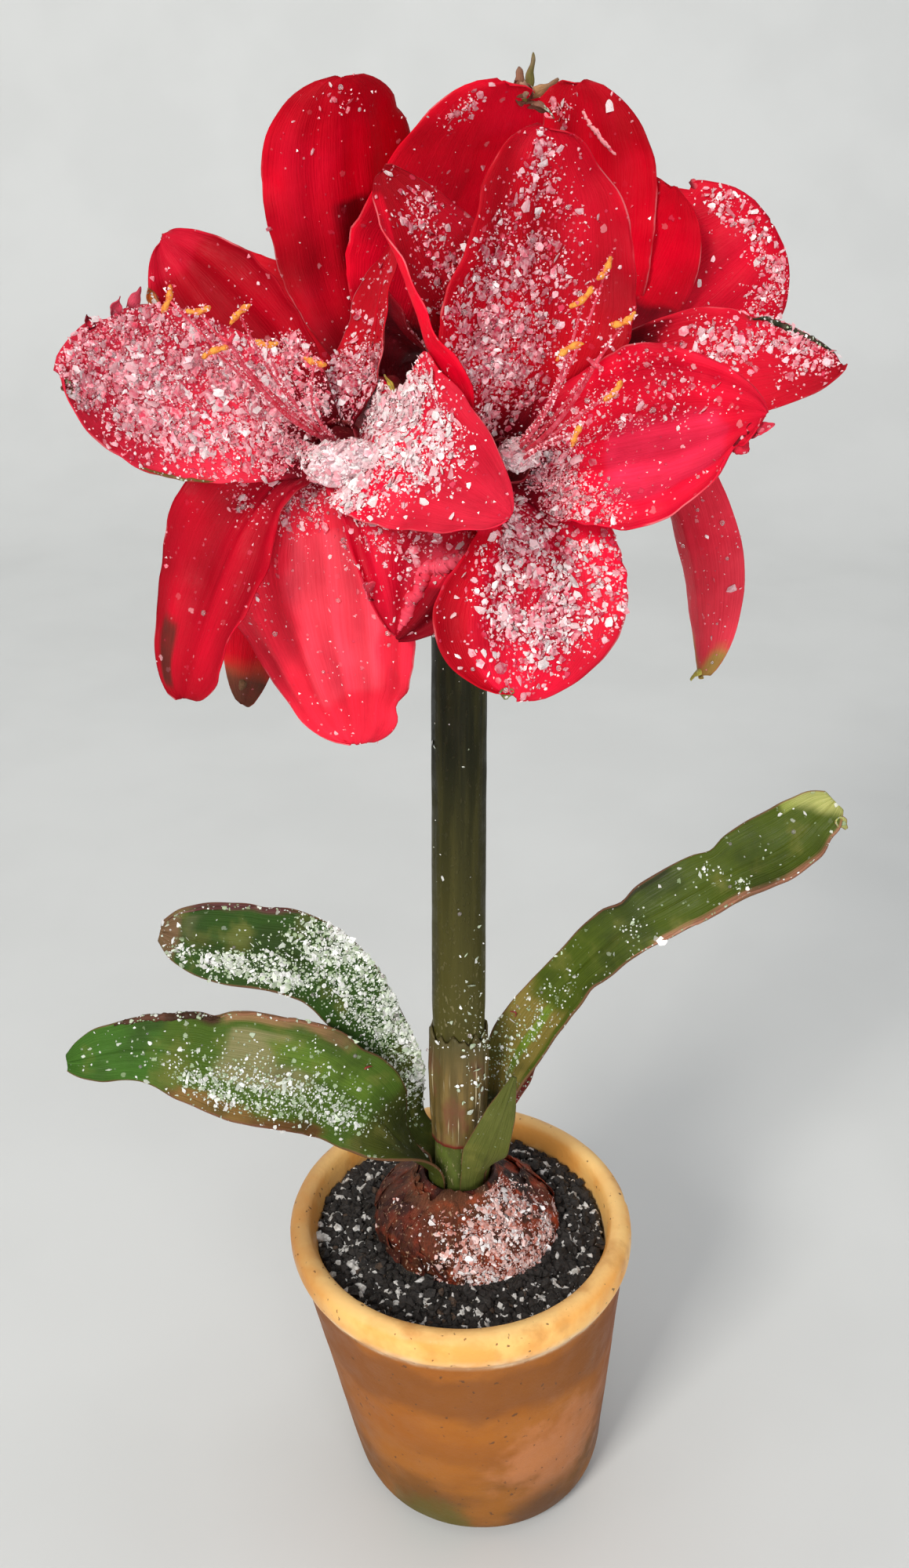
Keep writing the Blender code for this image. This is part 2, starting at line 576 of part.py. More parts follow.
def stamen_pieces(bloom, collection):
    """Six filaments with their anthers, and the style with its round stigma."""
    pieces = []
    ends = anther_ends(bloom)
    middle = sum(ends, Vector()) / len(ends)
    for end in ends:
        foot = bloom.throat + (end - middle) * 0.15 - bloom.axis * 0.001
        elbow = foot + bloom.axis * (end - foot).length * 0.5
        points = [quadratic(foot, elbow, end, share)[0] for share in (0, 0.25, 0.5, 0.75, 1)]
        pieces.append(rod("filament", points, [FILAMENT_RADIUS] * 5, collection))
        lie = (end - bloom.throat).normalized()
        lie = (lie + Vector((0, 0, 0.5))).normalized()
        anther = [end + lie * ANTHER_LENGTH * share for share in (-0.5, -0.25, 0.25, 0.5)]
        pieces.append(rod("anther", anther, [ANTHER_RADIUS * s for s in (0.45, 1, 1, 0.45)], collection))
    tip = bloom.throat + (middle - bloom.throat).normalized() * STYLE_REACH - Vector((0, 0, 0.004))
    elbow = bloom.throat + bloom.axis * STYLE_REACH * 0.5 - Vector((0, 0, 0.004))
    foot = bloom.throat - bloom.axis * 0.001
    points = [quadratic(foot, elbow, tip, share)[0] for share in (0, 0.25, 0.5, 0.75, 1)]
    pieces.append(rod("style", points, [FILAMENT_RADIUS * 1.2] * 4 + [FILAMENT_RADIUS * 2.2], collection))
    return pieces


def make_bloom(bloom, collection):
    profile = (
        (0, 0.0022), (TUBE_RADIUS * 0.7, 0.0012), (TUBE_RADIUS, -0.0030), (TUBE_RADIUS * 0.85, -TUBE_LENGTH * 0.6),
        (TUBE_END_RADIUS, -TUBE_LENGTH), (0, -TUBE_LENGTH),
    )
    core = turned(bloom.name, profile, 12, collection)
    core.matrix_world = Matrix.Translation(bloom.throat) @ bloom.axis.to_track_quat("Z", "Y").to_matrix().to_4x4()
    core = baked(core, collection)
    pieces = stamen_pieces(bloom, collection)
    for tepal in TEPALS:
        if tepal.bloom != bloom.name:
            continue
        mesh = sheet_mesh(
            "tepal", TEPAL_ROWS, TEPAL_COLUMNS,
            lambda along, across: tepal_point(
                tepal, bloom.throat, bloom.axis, 1 - (1 - along) ** 1.5, across * 2 - 1
            ),
        )
        pieces.append(baked(thicken(new_object("tepal", mesh, collection), TEPAL_THICKNESS), collection))
    whole = combined(core, pieces, "UNION", collection)
    return painted(whole, (0.62, 0.01, 0.03), 0.5)


def build():
    clear_scene()
    collection = new_collection("amaryllis_in_pot")
    make_pot(collection)
    make_soil(collection)
    make_bulb(collection)
    make_stem(collection)
    make_sleeve(collection)
    for leaf in LEAVES:
        colour = (0.30, 0.05, 0.05) if leaf.name == "leaf_back" else (0.08, 0.20, 0.03)
        make_blade(leaf, collection, colour)
    for bract in BRACTS:
        make_blade(bract, collection, (0.25, 0.16, 0.08), rooted=False)
    for bloom in BLOOMS:
        make_bloom(bloom, collection)


build()
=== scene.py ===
"""Looks of the amaryllis in a clay pot: finer blooms, leaves, bulb, soil and pot, and the flakes on them.

Lengths are in metres in the CAD model's frame, and in millimetres where a comment says so. The shapes repeat
the CAD's named values, so that each finer piece lies where its solid does. A colour that goes above 1 is a
screen colour, 0 to 255. A blade's key is its leaf's name, or its bloom's name and its number in the bloom.
"""

import math
from collections import namedtuple

import bmesh
import bpy
import numpy as np
from mathutils import Matrix, Vector, noise


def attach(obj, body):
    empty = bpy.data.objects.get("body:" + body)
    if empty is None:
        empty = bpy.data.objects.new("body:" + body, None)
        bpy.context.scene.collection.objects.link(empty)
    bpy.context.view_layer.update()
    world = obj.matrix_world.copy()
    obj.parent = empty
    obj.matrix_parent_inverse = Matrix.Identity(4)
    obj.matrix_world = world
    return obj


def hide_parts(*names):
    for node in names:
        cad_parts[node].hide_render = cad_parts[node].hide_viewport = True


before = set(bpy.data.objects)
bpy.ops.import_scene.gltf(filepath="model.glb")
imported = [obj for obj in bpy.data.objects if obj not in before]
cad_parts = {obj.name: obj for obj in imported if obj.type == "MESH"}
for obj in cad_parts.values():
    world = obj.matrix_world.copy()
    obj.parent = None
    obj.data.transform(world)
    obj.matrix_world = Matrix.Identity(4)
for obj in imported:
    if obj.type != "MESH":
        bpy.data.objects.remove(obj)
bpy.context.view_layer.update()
rng = np.random.default_rng(11)

GAP = 0.0003
POT_HEIGHT = 0.112
FOOT_OFFSET = 0.0080
POT_FLOOR = 0.011
POT_INSIDE = ((0.0380, POT_FLOOR), (0.0505, 0.1000), (0.0518, 0.1090), (0.0535, 0.1115))
POT_OUTSIDE = (
    (0.0560, 0.1120), (0.0585, 0.1112), (0.0600, 0.1090), (0.0600, 0.1035), (0.0592, 0.1005),
    (0.0574, 0.0985), (0.0543, 0.0740), (0.0500, 0.0400), (0.0462, 0.0100), (0.0448, 0.0045),
    (0.0415, 0.0010), (0.0380, 0.0),
)
DRAIN_RADIUS = 0.004
DRAIN_RING = 0.022
SOIL_TOP = 0.1020
SOIL_MOUND = 0.0040
SOIL_INNER = 0.0355
SOIL_REACH = 0.0496
NECK_CENTRE = Vector((-0.0005, 0.0, 0.0))
BULB_CENTRE = Vector((0.0026, 0.0024, 0.0))
NECK_TOP = 0.1310
NECK_FLOOR = 0.1185
NECK_HOLE = 0.0117
NECK_LIP = Vector((0.0011, 0, 0.0045))
BULB_OUTSIDE = (
    (0.0125, NECK_TOP), (0.0138, 0.1302), (0.0147, 0.1270), (0.0180, 0.1240), (0.0236, 0.1205),
    (0.0290, 0.1145), (0.0320, 0.1050), (0.0326, 0.0930), (0.0306, 0.0800), (0.0250, 0.0660),
    (0.0160, 0.0550), (0.0100, 0.0520),
)
BULB_BOTTOM = 0.0500
STEM_OUTSIDE = (
    (0.0079, 0.3300), (0.0082, 0.3050), (0.0087, 0.2000), (0.0085, 0.1940), (0.0080, 0.1480),
    (0.0079, 0.1192),
)
STEM_TOP = 0.3440
SLEEVE_INSIDE = ((0.0084, 0.1460), (0.0085, 0.1600), (0.0089, 0.1925))
SLEEVE_OUTSIDE = ((0.0096, 0.1918), (0.0101, 0.1750), (0.0097, 0.1600), (0.0092, 0.1465))
UMBEL = Vector((-0.0005, 0.0, 0.3410))
PEDICEL_RADIUS = 0.0034
OVARY_RADIUS = 0.0060
OVARY_LENGTH = 0.013
TUBE_LENGTH = 0.018
TUBE_RADIUS = 0.0062
TUBE_END_RADIUS = 0.0046
CLAW_RADIUS = 0.0048
ANTHER_REACH = 0.040
ANTHER_SPREAD = 0.010
STYLE_REACH = 0.050
STYLE_DROP = Vector((0, 0, 0.004))
LEAF_ROOT_RADIUS = 0.0097
LEAF_ROOT = NECK_FLOOR + 2 * GAP
# The height from which the bulb's middle leans over.
LEAN_START = 0.108
# Thinnest part of a tepal and the rib's share, radii of threads at the foot and what they lose up to the tip.
PETAL_THICKNESS = 0.00032
PETAL_RIB = 0.0005
FILAMENT_RADIUS = 0.00045
FILAMENT_TAPER = 0.00018
STYLE_RADIUS = 0.00062
STYLE_TAPER = 0.00015
ANTHER_RADIUS = 0.00066
ANTHER_HALF_LENGTH = 0.0031
SKIN_COUNT = 15
SKIN_TOPS = (NECK_TOP + 0.0006, 0.1285, 0.1245, 0.1215, 0.1180)
SKIN_FOOT = 0.098
SKIN_THICKNESS = 0.00022
SCRAP_THICKNESS = 0.00028
# Where flakes lie round the stem and its sleeve, and how many cling to a thread and an anther.
STEM_FLAKE_RADIUS = 0.0081
SLEEVE_FLAKE_RADIUS = 0.0103
THREAD_FLAKES = 200
ANTHER_FLAKES = 26
CURVE_STEPS = 10

# Rows and columns of a tepal's grid in a bloom that faces the front and in a back one, columns of a leaf's,
# rows and columns of a scrap's and a heap's, and steps along an anther and a flower's stalk.
FRONT_GRID = (60, 36)
BACK_GRID = (46, 28)
LEAF_COLUMNS = 28
SCRAP_GRID = (17, 11)
HEAP_GRID = (25, 49)
ANTHER_STEPS = 17
STALK_STEPS = 14
SHINE = "Specular IOR Level"
CRIMSON = (204, 0, 30)
# A paler red for tepals that face up to the light: a painted highlight.
PAINTED_HIGHLIGHT_RED = (238, 22, 58)
# A dark red for deep places out of the light: a painted shade.
PAINTED_SHADE_RED = (66, 0, 10)

# Throats and anthers, which are measured from the throat, are in millimetres.
Bloom = namedtuple("Bloom", "name throat axis anthers")
BLOOM_ROWS = (
    ("front", (12, -48, 388), (0.35, -0.78, 0.50), (
        (17, -30, 45), (12, -36, 40), (9, -40, 31), (21, -32, 35), (19, -38, 22), (11, -42, 14),
    )),
    ("left", (-32, -34, 389), (-0.40, -0.80, 0.45), (
        (-32, -26, 36), (-25, -30, 34), (-16, -32, 34), (-10, -36, 28), (-21, -37, 27), (0, -34, 24),
    )),
    ("back_left", (-24, 32, 390), (-0.50, 0.74, 0.45), ()),
    ("back_right", (26, 30, 388), (0.62, 0.64, 0.45), ()),
)
# How the anthers lie, for the blooms that show them.
LIES = {
    "front": ((0.5, 0, 0.85), (0.7, 0, 0.6), (0.8, 0, 0.5), (0.9, 0, 0.45), (0.6, 0, 0.7), (0.35, 0, 0.9)),
    "left": ((0.4, 0, 1.0), (1.0, 0, 0.15), (0.8, 0, 0.7), (1.0, 0, -0.1), (1.0, 0, 0.4), (0.9, 0, -0.3)),
}

# Tip from the throat and the blade's elbow (out, off the axis, aside), width and waves in millimetres; where
# it is widest and how blunt it ends as shares; roll, cup and the curls of its two margins in degrees.
Tepal = namedtuple("Tepal", "tip elbow width widest blunt roll cup curl ruffle", defaults=((0, 0), 1.5))
TEPALS = {
    "front": (
        Tepal((5, -4, 71), (16, 16, 2), 50, 0.55, 0.9, 0, 26, (0, 0), 1),
        Tepal((-30, 10, 62), (18, 14, 0), 36, 0.60, 0.3, 0, 24, (55, 0), 1),
        Tepal((78, 10, 20), (16, 20, -14), 30, 0.66, 0.4, 0, 25, (0, 20), 2),
        Tepal((53, -27, 15), (14, 12, 0), 44, 0.60, 0.5, 0, 25, (10, 0)),
        Tepal((0, -30, -49), (16, 14, 0), 50, 0.60, 1.0, 0, 18),
        Tepal((-28, -11, -41), (8, 14, 3), 38, 0.56, 0.3, 0, 8, (85, -42), 2),
    ),
    "left": (
        Tepal((-58, -26, 20), (14, 16, 6), 40, 0.62, 0.9, 0, 15),
        Tepal((-40, 14, 45), (18, 18, 0), 34, 0.60, 0.5, 0, 32),
        Tepal((13, 22, 58), (18, 14, 0), 30, 0.60, 0.3, -60, 30),
        Tepal((42, -52, -5), (20, 10, -6), 45, 0.48, 0.2, 0, 10, (20, 0), 1),
        Tepal((4, -6, -79), (10, 14, 4), 50, 0.62, 0.9, 0, 6, (0, 0), 2),
        Tepal((-40, -11, -64), (16, 14, 12), 36, 0.60, 0.9, 0, 24, (0, 0), 2),
    ),
    "back_left": (
        Tepal((-6, -22, 79), (20, 20, 2), 45, 0.70, 1.0, 0, 26),
        Tepal((34, -32, 78), (18, 20, -12), 50, 0.62, 1.0, 0, 12),
        Tepal((-60, 10, 30), (20, 20, 0), 40, 0.60, 0.6, 0, 26),
        Tepal((-41, -22, -90), (20, 20, 0), 34, 0.66, 0.5, 0, 26),
        Tepal((31, -28, 0), (16, 16, 0), 56, 0.62, 0.9, 0, 22),
        Tepal((-10, 40, -50), (20, 20, 0), 42, 0.60, 0.6, 0, 26),
    ),
    "back_right": (
        Tepal((4, -14, 80), (20, 20, 0), 48, 0.60, 1.0, 0, 26),
        Tepal((28, -20, 56), (20, 20, 0), 38, 0.60, 0.9, 0, 26),
        Tepal((55, -15, 47), (20, 20, 0), 52, 0.66, 1.0, 0, 26),
        Tepal((43, -35, -73), (20, 20, 30), 32, 0.70, 0.8, 0, 50),
        Tepal((10, 50, 40), (20, 20, 0), 42, 0.60, 0.6, 0, 26),
        Tepal((14, 44, -45), (20, 20, 0), 42, 0.60, 0.6, 0, 26),
    ),
}
# Changes of a tepal's half width: side (-1 left, 1 right), where along, how much narrower, over what length,
# and whether they fall on the margin alone (3) or on the whole half (1).
NOTCHES = {
    "front_0": ((-1, 0.80, 0.26, 0.16, 1), (1, 0.93, 0.16, 0.05, 1)),
    "front_1": ((-1, 0.42, -0.35, 0.14, 1),),
    "front_2": ((-1, 0.80, 0.12, 0.03, 3),),
    "front_3": ((1, 0.93, 0.35, 0.025, 3),),
    "front_4": ((1, 0.40, 0.50, 0.26, 1),),
    "front_5": (
        (-1, 0.62, 0.22, 0.03, 3), (1, 0.75, 0.14, 0.05, 3),
        (-1, 0.55, 0.10, 0.35, 1), (1, 0.66, -1.00, 0.22, 1),
    ),
    "left_0": ((1, 0.88, 0.10, 0.02, 3),),
    "left_1": ((-1, 0.70, 0.15, 0.03, 3),),
    "left_2": ((-1, 0.60, 0.30, 0.50, 1), (1, 0.60, 0.25, 0.50, 1)),
    "left_3": ((1, 0.50, 0.20, 0.40, 1), (-1, 0.36, 0.38, 0.14, 1), (-1, 0.57, -0.14, 0.05, 1)),
    "left_4": ((-1, 0.90, 0.16, 0.03, 3), (1, 0.45, -0.30, 0.30, 1), (-1, 0.62, -0.10, 0.15, 1)),
    "left_5": ((-1, 0.35, 0.55, 0.22, 1), (-1, 0.82, 0.18, 0.04, 3)),
    "back_left_0": ((-1, 0.90, 0.08, 0.02, 3),),
    "back_right_2": ((1, 0.86, 0.12, 0.02, 3), (1, 0.74, 0.10, 0.02, 3)),
    "back_right_3": ((-1, 0.85, 0.14, 0.03, 3), (-1, 0.60, -0.35, 0.22, 1)),
}
# Claws that are broader than CLAW_SHARE of the blade.
CLAW_SHARE = 0.30
CLAWS = {"left_3": 0.50, "left_0": 0.50, "front_3": 0.42, "front_4": 0.45}
# How far a blade's outer part stands from the solid's, in metres.
SHIFTS = {"left_2": (0.0080, 0.0020, 0.0)}
# Pleats that run along a tepal: how many half waves across it, and their height in millimetres.
PLEATS = {
    "left_4": (5.0, 0.9), "front_5": (3.0, 1.8), "left_5": (2.5, 0.8), "front_4": (3.0, 0.6),
    "front_0": (3.0, 0.5), "left_3": (3.0, 0.5), "front_3": (5.0, 0.7), "left_1": (3.0, 0.8),
    "back_left_0": (4.0, 0.5), "back_right_2": (4.0, 0.6), "back_right_0": (3.0, 0.6),
}

# Leaves and bracts. Millimetres: the rib's points, the widths (share of length, width), the waves in the
# margins and the thickness. Degrees: where the root stands round the neck, and the fold.
Leaf = namedtuple("Leaf", "name slot angle path face widths fold edge thickness rows")
LEAVES = (
    Leaf(
        "leaf_upper_left", "leaf_green", 140,
        ((-17.4, 6, 147.6), (-21.0, 3, 171.6), (-30.0, 0, 192.9), (-41.8, -3, 213.2), (-56.1, -5, 222.8),
         (-72.8, -7, 226.6), (-93.0, -9, 232.2)),
        (0.10, -0.80, 0.60),
        ((0, 9.0), (0.15, 10.0), (0.38, 18.0), (0.55, 23.5), (0.75, 27.0), (0.86, 26.2), (0.93, 22.5),
         (0.975, 15.5), (1, 6.0)),
        10, 0.6, 2.2, 100,
    ),
    Leaf(
        "leaf_lower_left", "leaf_green", 212,
        ((-19.6, -9, 147.6), (-29.9, -14, 167.2), (-44.2, -19, 182.2), (-60.3, -23, 189.6),
         (-78.8, -26, 196.4), (-97.8, -29, 202.5), (-120.0, -32, 199.7)),
        (0.00, -0.80, 0.60),
        ((0, 9.5), (0.10, 10.0), (0.22, 20.0), (0.36, 31.0), (0.50, 35.0), (0.66, 34.5), (0.76, 28.0),
         (0.86, 19.0), (0.94, 16.5), (0.98, 11.0), (1, 5.0)),
        12, 1.0, 2.4, 110,
    ),
    Leaf(
        "leaf_right", "leaf_green", 5,
        ((13.8, 3.6, 153.0), (19.0, 4.8, 177.2), (30.0, 4.0, 197.9), (49.8, 3.0, 222.9), (65.5, 3.0, 234.0),
         (84.3, 3.0, 246.8), (100.6, 4.0, 255.9), (115.0, 6.0, 269.9)),
        (-0.20, -0.75, 0.60),
        ((0, 9.0), (0.10, 9.8), (0.20, 16.0), (0.32, 21.0), (0.50, 18.0), (0.70, 20.0), (0.86, 22.5),
         (0.94, 21.5), (0.98, 16.0), (1, 8.0)),
        30, 1.6, 2.2, 120,
    ),
    Leaf(
        "leaf_short", "leaf_green", -58,
        ((9.0, -13.0, 150.0), (13.9, -14.5, 168.0), (17.3, -15.2, 181.2)),
        (0.20, 0.80, 0.50),
        ((0, 9.0), (0.25, 10.0), (0.45, 15.5), (0.75, 10.0), (1, 1.8)),
        4, 0, 1.6, 50,
    ),
    Leaf(
        "leaf_back", "leaf_red", 78,
        ((10.0, 14.0, 140.0), (19.0, 17.0, 150.0), (27.2, 19.0, 163.7)),
        (-0.60, -0.60, 0.50),
        ((0, 7.0), (0.50, 9.5), (0.85, 7.0), (1, 2.0)),
        20, 0, 1.4, 40,
    ),
    Leaf(
        "spathe_left", "bract_brown", 0,
        ((-9.0, 3.0, 329), (-9.8, 3.4, 335), (-14.0, 5.5, 341), (-23.0, 10.0, 340), (-32.0, 14.0, 328)),
        (-0.40, -0.90, 0.00),
        ((0, 8.0), (0.35, 17.0), (0.75, 11.0), (1, 2.0)),
        12, 0.6, 0.9, 50,
    ),
    Leaf(
        "spathe_right", "bract_brown", 0,
        ((6.8, 5.5, 329), (7.5, 6.2, 335), (11.0, 9.5, 341), (19.0, 17.0, 340), (26.0, 24.0, 328)),
        (0.70, -0.70, 0.00),
        ((0, 8.0), (0.35, 16.0), (0.75, 11.0), (1, 2.0)),
        12, 0.6, 0.9, 50,
    ),
)
# Notches in leaves: side, where along, how much narrower, over what length.
LEAF_NOTCHES = {
    "leaf_upper_left": ((1, 0.80, 0.10, 0.015),),
    "leaf_lower_left": ((1, 0.73, 0.14, 0.012), (1, 0.45, 0.14, 0.02)),
    "leaf_right": (
        (-1, 0.625, 0.30, 0.012), (-1, 0.79, 0.24, 0.012), (-1, 0.70, -0.10, 0.04), (-1, 0.87, -0.10, 0.04),
        (1, 0.955, 0.20, 0.012), (1, 0.50, 0.12, 0.03),
    ),
}

# Base colour of each blade, and its painted zones: along from and to, across from and to, colour.
TINTS = {
    "front_0": ((200, 0, 30), (0.55, 1.1, 0.2, 1.1, (196, 6, 34))),
    "front_1": ((180, 0, 26), (0.3, 0.95, -1.1, -0.50, (252, 4, 48))),
    # front_2: the dark red over its lower part is a painted shade in the recess beside the front tepal; the
    # dark green strip at its margin is its own colour.
    "front_2": ((206, 14, 42), (0.0, 0.58, -1.1, -0.2, (96, 0, 14)), (0.76, 1.1, -1.1, -0.84, (34, 40, 24))),
    # front_3: its pale base and coral zone are a painted highlight where it faces the light.
    "front_3": (PAINTED_HIGHLIGHT_RED, (0.45, 0.9, -0.3, 0.7, (236, 48, 84))),
    # front_4: its pale base is a painted highlight.
    "front_4": (PAINTED_HIGHLIGHT_RED, (0.25, 0.85, -0.5, 0.6, (196, 4, 38)), (0.4, 1.1, 0.5, 1.1, CRIMSON)),
    # front_5: the dark red zones beyond its fold are a painted shade, and the pink bands along the fold a
    # painted highlight.
    "front_5": (
        (196, 14, 44), (0.30, 0.50, -1.1, 1.1, (160, 0, 28)), (0.62, 1.1, -1.1, -0.14, (120, 0, 18)),
        (0.74, 1.1, -1.1, 0.02, (120, 0, 18)), (0.49, 0.61, -0.60, -0.05, (226, 70, 96)),
        (0.59, 0.75, -0.14, 0.16, (226, 62, 88)), (0.70, 0.95, 0.04, 0.24, (216, 44, 72)),
    ),
    # left_0: its coral base is a painted highlight on a tepal that faces up to the light; the brown tip and
    # margin are its own colour.
    "left_0": ((240, 58, 82), (0.95, 1.0, -0.6, 0.3, (80, 20, 20)), (0.5, 0.8, -1.1, -0.93, (110, 80, 30))),
    "left_1": ((166, 0, 24), (0.86, 1.1, -1.1, 1.1, (190, 14, 42))),
    # left_3: its pale base and the lighter band beyond its snow are a painted highlight where the band
    # catches the light.
    "left_3": (PAINTED_HIGHLIGHT_RED, (0.55, 1.1, -1.1, 1.1, (236, 44, 70))),
    # left_4: its coral base and paler zone are a painted highlight where it faces the light.
    "left_4": ((246, 44, 68), (0.4, 0.9, -0.6, 0.4, (252, 74, 92))),
    "left_5": ((182, 4, 32), (0.86, 0.99, 0.45, 0.9, (84, 36, 28))),
    # back_left_0: the dark red across its middle is a painted shade in the cup of the tepal.
    "back_left_0": ((210, 0, 32), (0.2, 0.70, -1.1, 0.2, (116, 0, 15))),
    # back_left_1: the dark red near the throat is a painted shade.
    "back_left_1": ((255, 6, 46), (0.0, 0.30, -1.1, 1.1, PAINTED_SHADE_RED)),
    "back_left_3": (CRIMSON, (0.92, 1.1, -1.1, 1.1, (176, 70, 44)), (0.945, 1.1, -1.1, 1.1, (92, 66, 46))),
    # back_left_4: a dark red sheet in the deep gap, darker still near the throat, all painted shade.
    "back_left_4": ((120, 0, 18), (0.0, 0.6, -1.1, 1.1, PAINTED_SHADE_RED)),
    # back_right_1 and back_right_2: the dark red over their lower parts is a painted shade.
    "back_right_1": ((200, 0, 30), (0.0, 0.60, -1.1, 1.1, (104, 0, 16))),
    "back_right_2": ((210, 4, 40), (0.0, 0.55, -1.1, 1.1, (150, 0, 22))),
    # back_right_3: its coral base is a painted highlight on a tepal lit from the front; its pale tip is its
    # own colour.
    "back_right_3": ((252, 70, 88), (0.945, 1.1, -1.1, 1.1, (190, 176, 90))),
    "leaf_upper_left": (
        (48, 76, 24), (0.72, 1.1, 0.80, 1.1, (96, 56, 56)), (0.955, 1.1, -1.1, 1.1, (120, 92, 66)),
        (0.90, 0.97, -0.2, 0.7, (86, 92, 56)), (0.0, 0.42, -1.1, 1.1, (66, 74, 28)),
    ),
    "leaf_lower_left": (
        (74, 98, 30), (0.48, 0.74, 0.76, 1.1, (150, 114, 78)), (0.53, 0.70, -0.4, 0.70, (136, 130, 88)),
        (0.40, 0.62, 0.10, 0.60, (92, 118, 38)), (0.72, 0.88, 0.80, 1.1, (74, 50, 34)),
        (0.40, 0.82, -1.1, -0.76, (104, 70, 38)), (0.62, 0.80, -1.1, -0.62, (130, 98, 52)),
        (0.82, 1.1, -1.1, 1.1, (66, 106, 34)), (0.0, 0.34, -1.1, 1.1, (70, 76, 26)),
    ),
    "leaf_right": (
        (72, 86, 20), (0.62, 1.1, 0.80, 1.1, (160, 112, 86)), (0.93, 1.1, -1.1, -0.6, (150, 158, 78)),
        (0.965, 1.1, -1.1, 1.1, (176, 176, 104)), (0.20, 0.44, -1.1, 0.9, (128, 112, 54)),
        (0.28, 0.44, 0.0, 0.4, (110, 132, 44)), (0.0, 0.2, -1.1, 1.1, (84, 86, 34)),
        (0.60, 0.72, -1.1, -0.8, (44, 40, 20)),
    ),
    "leaf_short": ((92, 96, 44),),
    "leaf_back": ((160, 44, 52),),
}
PLAIN_TEPAL = (CRIMSON,)
PLAIN_BRACT = ((120, 92, 60),)

# Flakes: a thin even scatter on each sheet, and its patches: where along and across, how far they reach
# along and across, and how much of the sheet they cover.
FALLS = {
    "front_0": (
        0.012, (0.30, -0.35, 0.24, 0.55, 0.66), (0.60, -0.28, 0.20, 0.48, 0.36),
        (0.78, 0.02, 0.16, 0.42, 0.15), (0.94, 0.05, 0.05, 0.26, 0.20),
    ),
    "front_1": (0.015, (0.75, 0.25, 0.22, 0.5, 0.18), (0.42, 0.45, 0.26, 0.6, 0.40)),
    "front_2": (
        0.02, (0.74, -0.45, 0.14, 0.35, 0.28), (0.93, -0.3, 0.08, 0.6, 0.40),
        (0.93, -0.85, 0.07, 0.15, 0.6),
    ),
    "front_3": (
        0.012, (0.20, 0.20, 0.14, 0.5, 0.90), (0.36, 0.75, 0.16, 0.25, 0.6),
        (0.55, -0.45, 0.25, 0.4, 0.12),
    ),
    "front_4": (
        0.02, (0.50, 0.02, 0.30, 0.48, 1.0), (0.76, -0.20, 0.16, 0.40, 0.6),
        (0.60, -0.85, 0.20, 0.2, 0.4),
    ),
    "front_5": (0.02, (0.42, 0.2, 0.22, 0.5, 0.14), (0.66, 0.45, 0.14, 0.3, 0.18)),
    "left_0": (0.03, (0.55, 0.18, 0.42, 0.70, 1.0), (0.85, 0.1, 0.14, 0.6, 0.55), (0.2, 0.0, 0.15, 0.8, 0.6)),
    "left_1": (0.005, (0.20, 0.2, 0.12, 0.8, 0.5), (0.37, 0.50, 0.06, 0.25, 0.9)),
    "left_2": (0.02, (0.22, 0.0, 0.16, 1.0, 0.80)),
    "left_3": (
        0.010, (0.40, -0.20, 0.22, 0.85, 1.0), (0.34, 0.50, 0.16, 0.36, 1.0),
        (0.60, -0.15, 0.16, 0.45, 0.65),
    ),
    "left_4": (
        0.006, (0.26, 0.30, 0.12, 0.5, 0.45), (0.40, -0.5, 0.12, 0.3, 0.12),
        (0.46, 0.72, 0.16, 0.16, 0.25),
    ),
    "left_5": (0.003, (0.38, 0.10, 0.10, 0.4, 0.20)),
    "back_left_0": (0.003, (0.95, 0.0, 0.04, 0.5, 0.06)),
    "back_left_1": (0.002, (0.95, 0.5, 0.04, 0.25, 0.20)),
    "back_right_0": (0.004, (0.94, 0.4, 0.04, 0.3, 0.15)),
    "back_right_1": (0.004,),
    "back_right_2": (
        0.008, (0.94, 0.50, 0.04, 0.40, 0.30), (0.95, -0.35, 0.04, 0.50, 0.60),
        (0.86, -0.75, 0.08, 0.22, 0.55),
    ),
    "back_right_3": (0.002, (0.80, 0.6, 0.16, 0.4, 0.03)),
    "leaf_upper_left": (
        0.02, (0.63, 0.60, 0.09, 0.60, 1.0), (0.79, -0.50, 0.14, 0.30, 1.0), (0.52, 0.4, 0.14, 0.8, 1.0),
        (0.36, 0.4, 0.12, 0.8, 0.75), (0.72, 0.0, 0.10, 0.4, 0.25),
    ),
    "leaf_lower_left": (
        0.03, (0.65, -0.45, 0.13, 0.30, 1.0), (0.50, -0.38, 0.14, 0.26, 1.0), (0.56, -0.1, 0.22, 0.5, 0.25),
    ),
    "leaf_right": (
        0.02, (0.62, 0.05, 0.02, 0.35, 0.5), (0.78, -0.2, 0.015, 0.3, 0.5), (0.81, 0.55, 0.015, 0.2, 0.6),
        (0.30, -0.2, 0.10, 0.6, 0.35), (0.42, 0.2, 0.06, 0.4, 0.25),
    ),
    "leaf_short": (0.04, (0.5, 0.6, 0.3, 0.3, 0.3)),
    "leaf_back": (0.08,),
    "bulb": (
        0.015, (0.45, 0.46, 0.42, 0.28, 1.0), (0.80, 0.12, 0.22, 0.34, 0.90), (0.50, 0.05, 0.25, 0.22, 0.6),
        (0.78, -0.20, 0.16, 0.30, 0.50), (0.30, 0.00, 0.14, 0.30, 0.30),
    ),
    "stem": (0.003, (0.76, 0.45, 0.14, 0.4, 0.08)),
    "heap_0": (0.95,),
    "heap_1": (0.95,),
}
DULLED = (0.03,)
SCATTER = (0.025,)
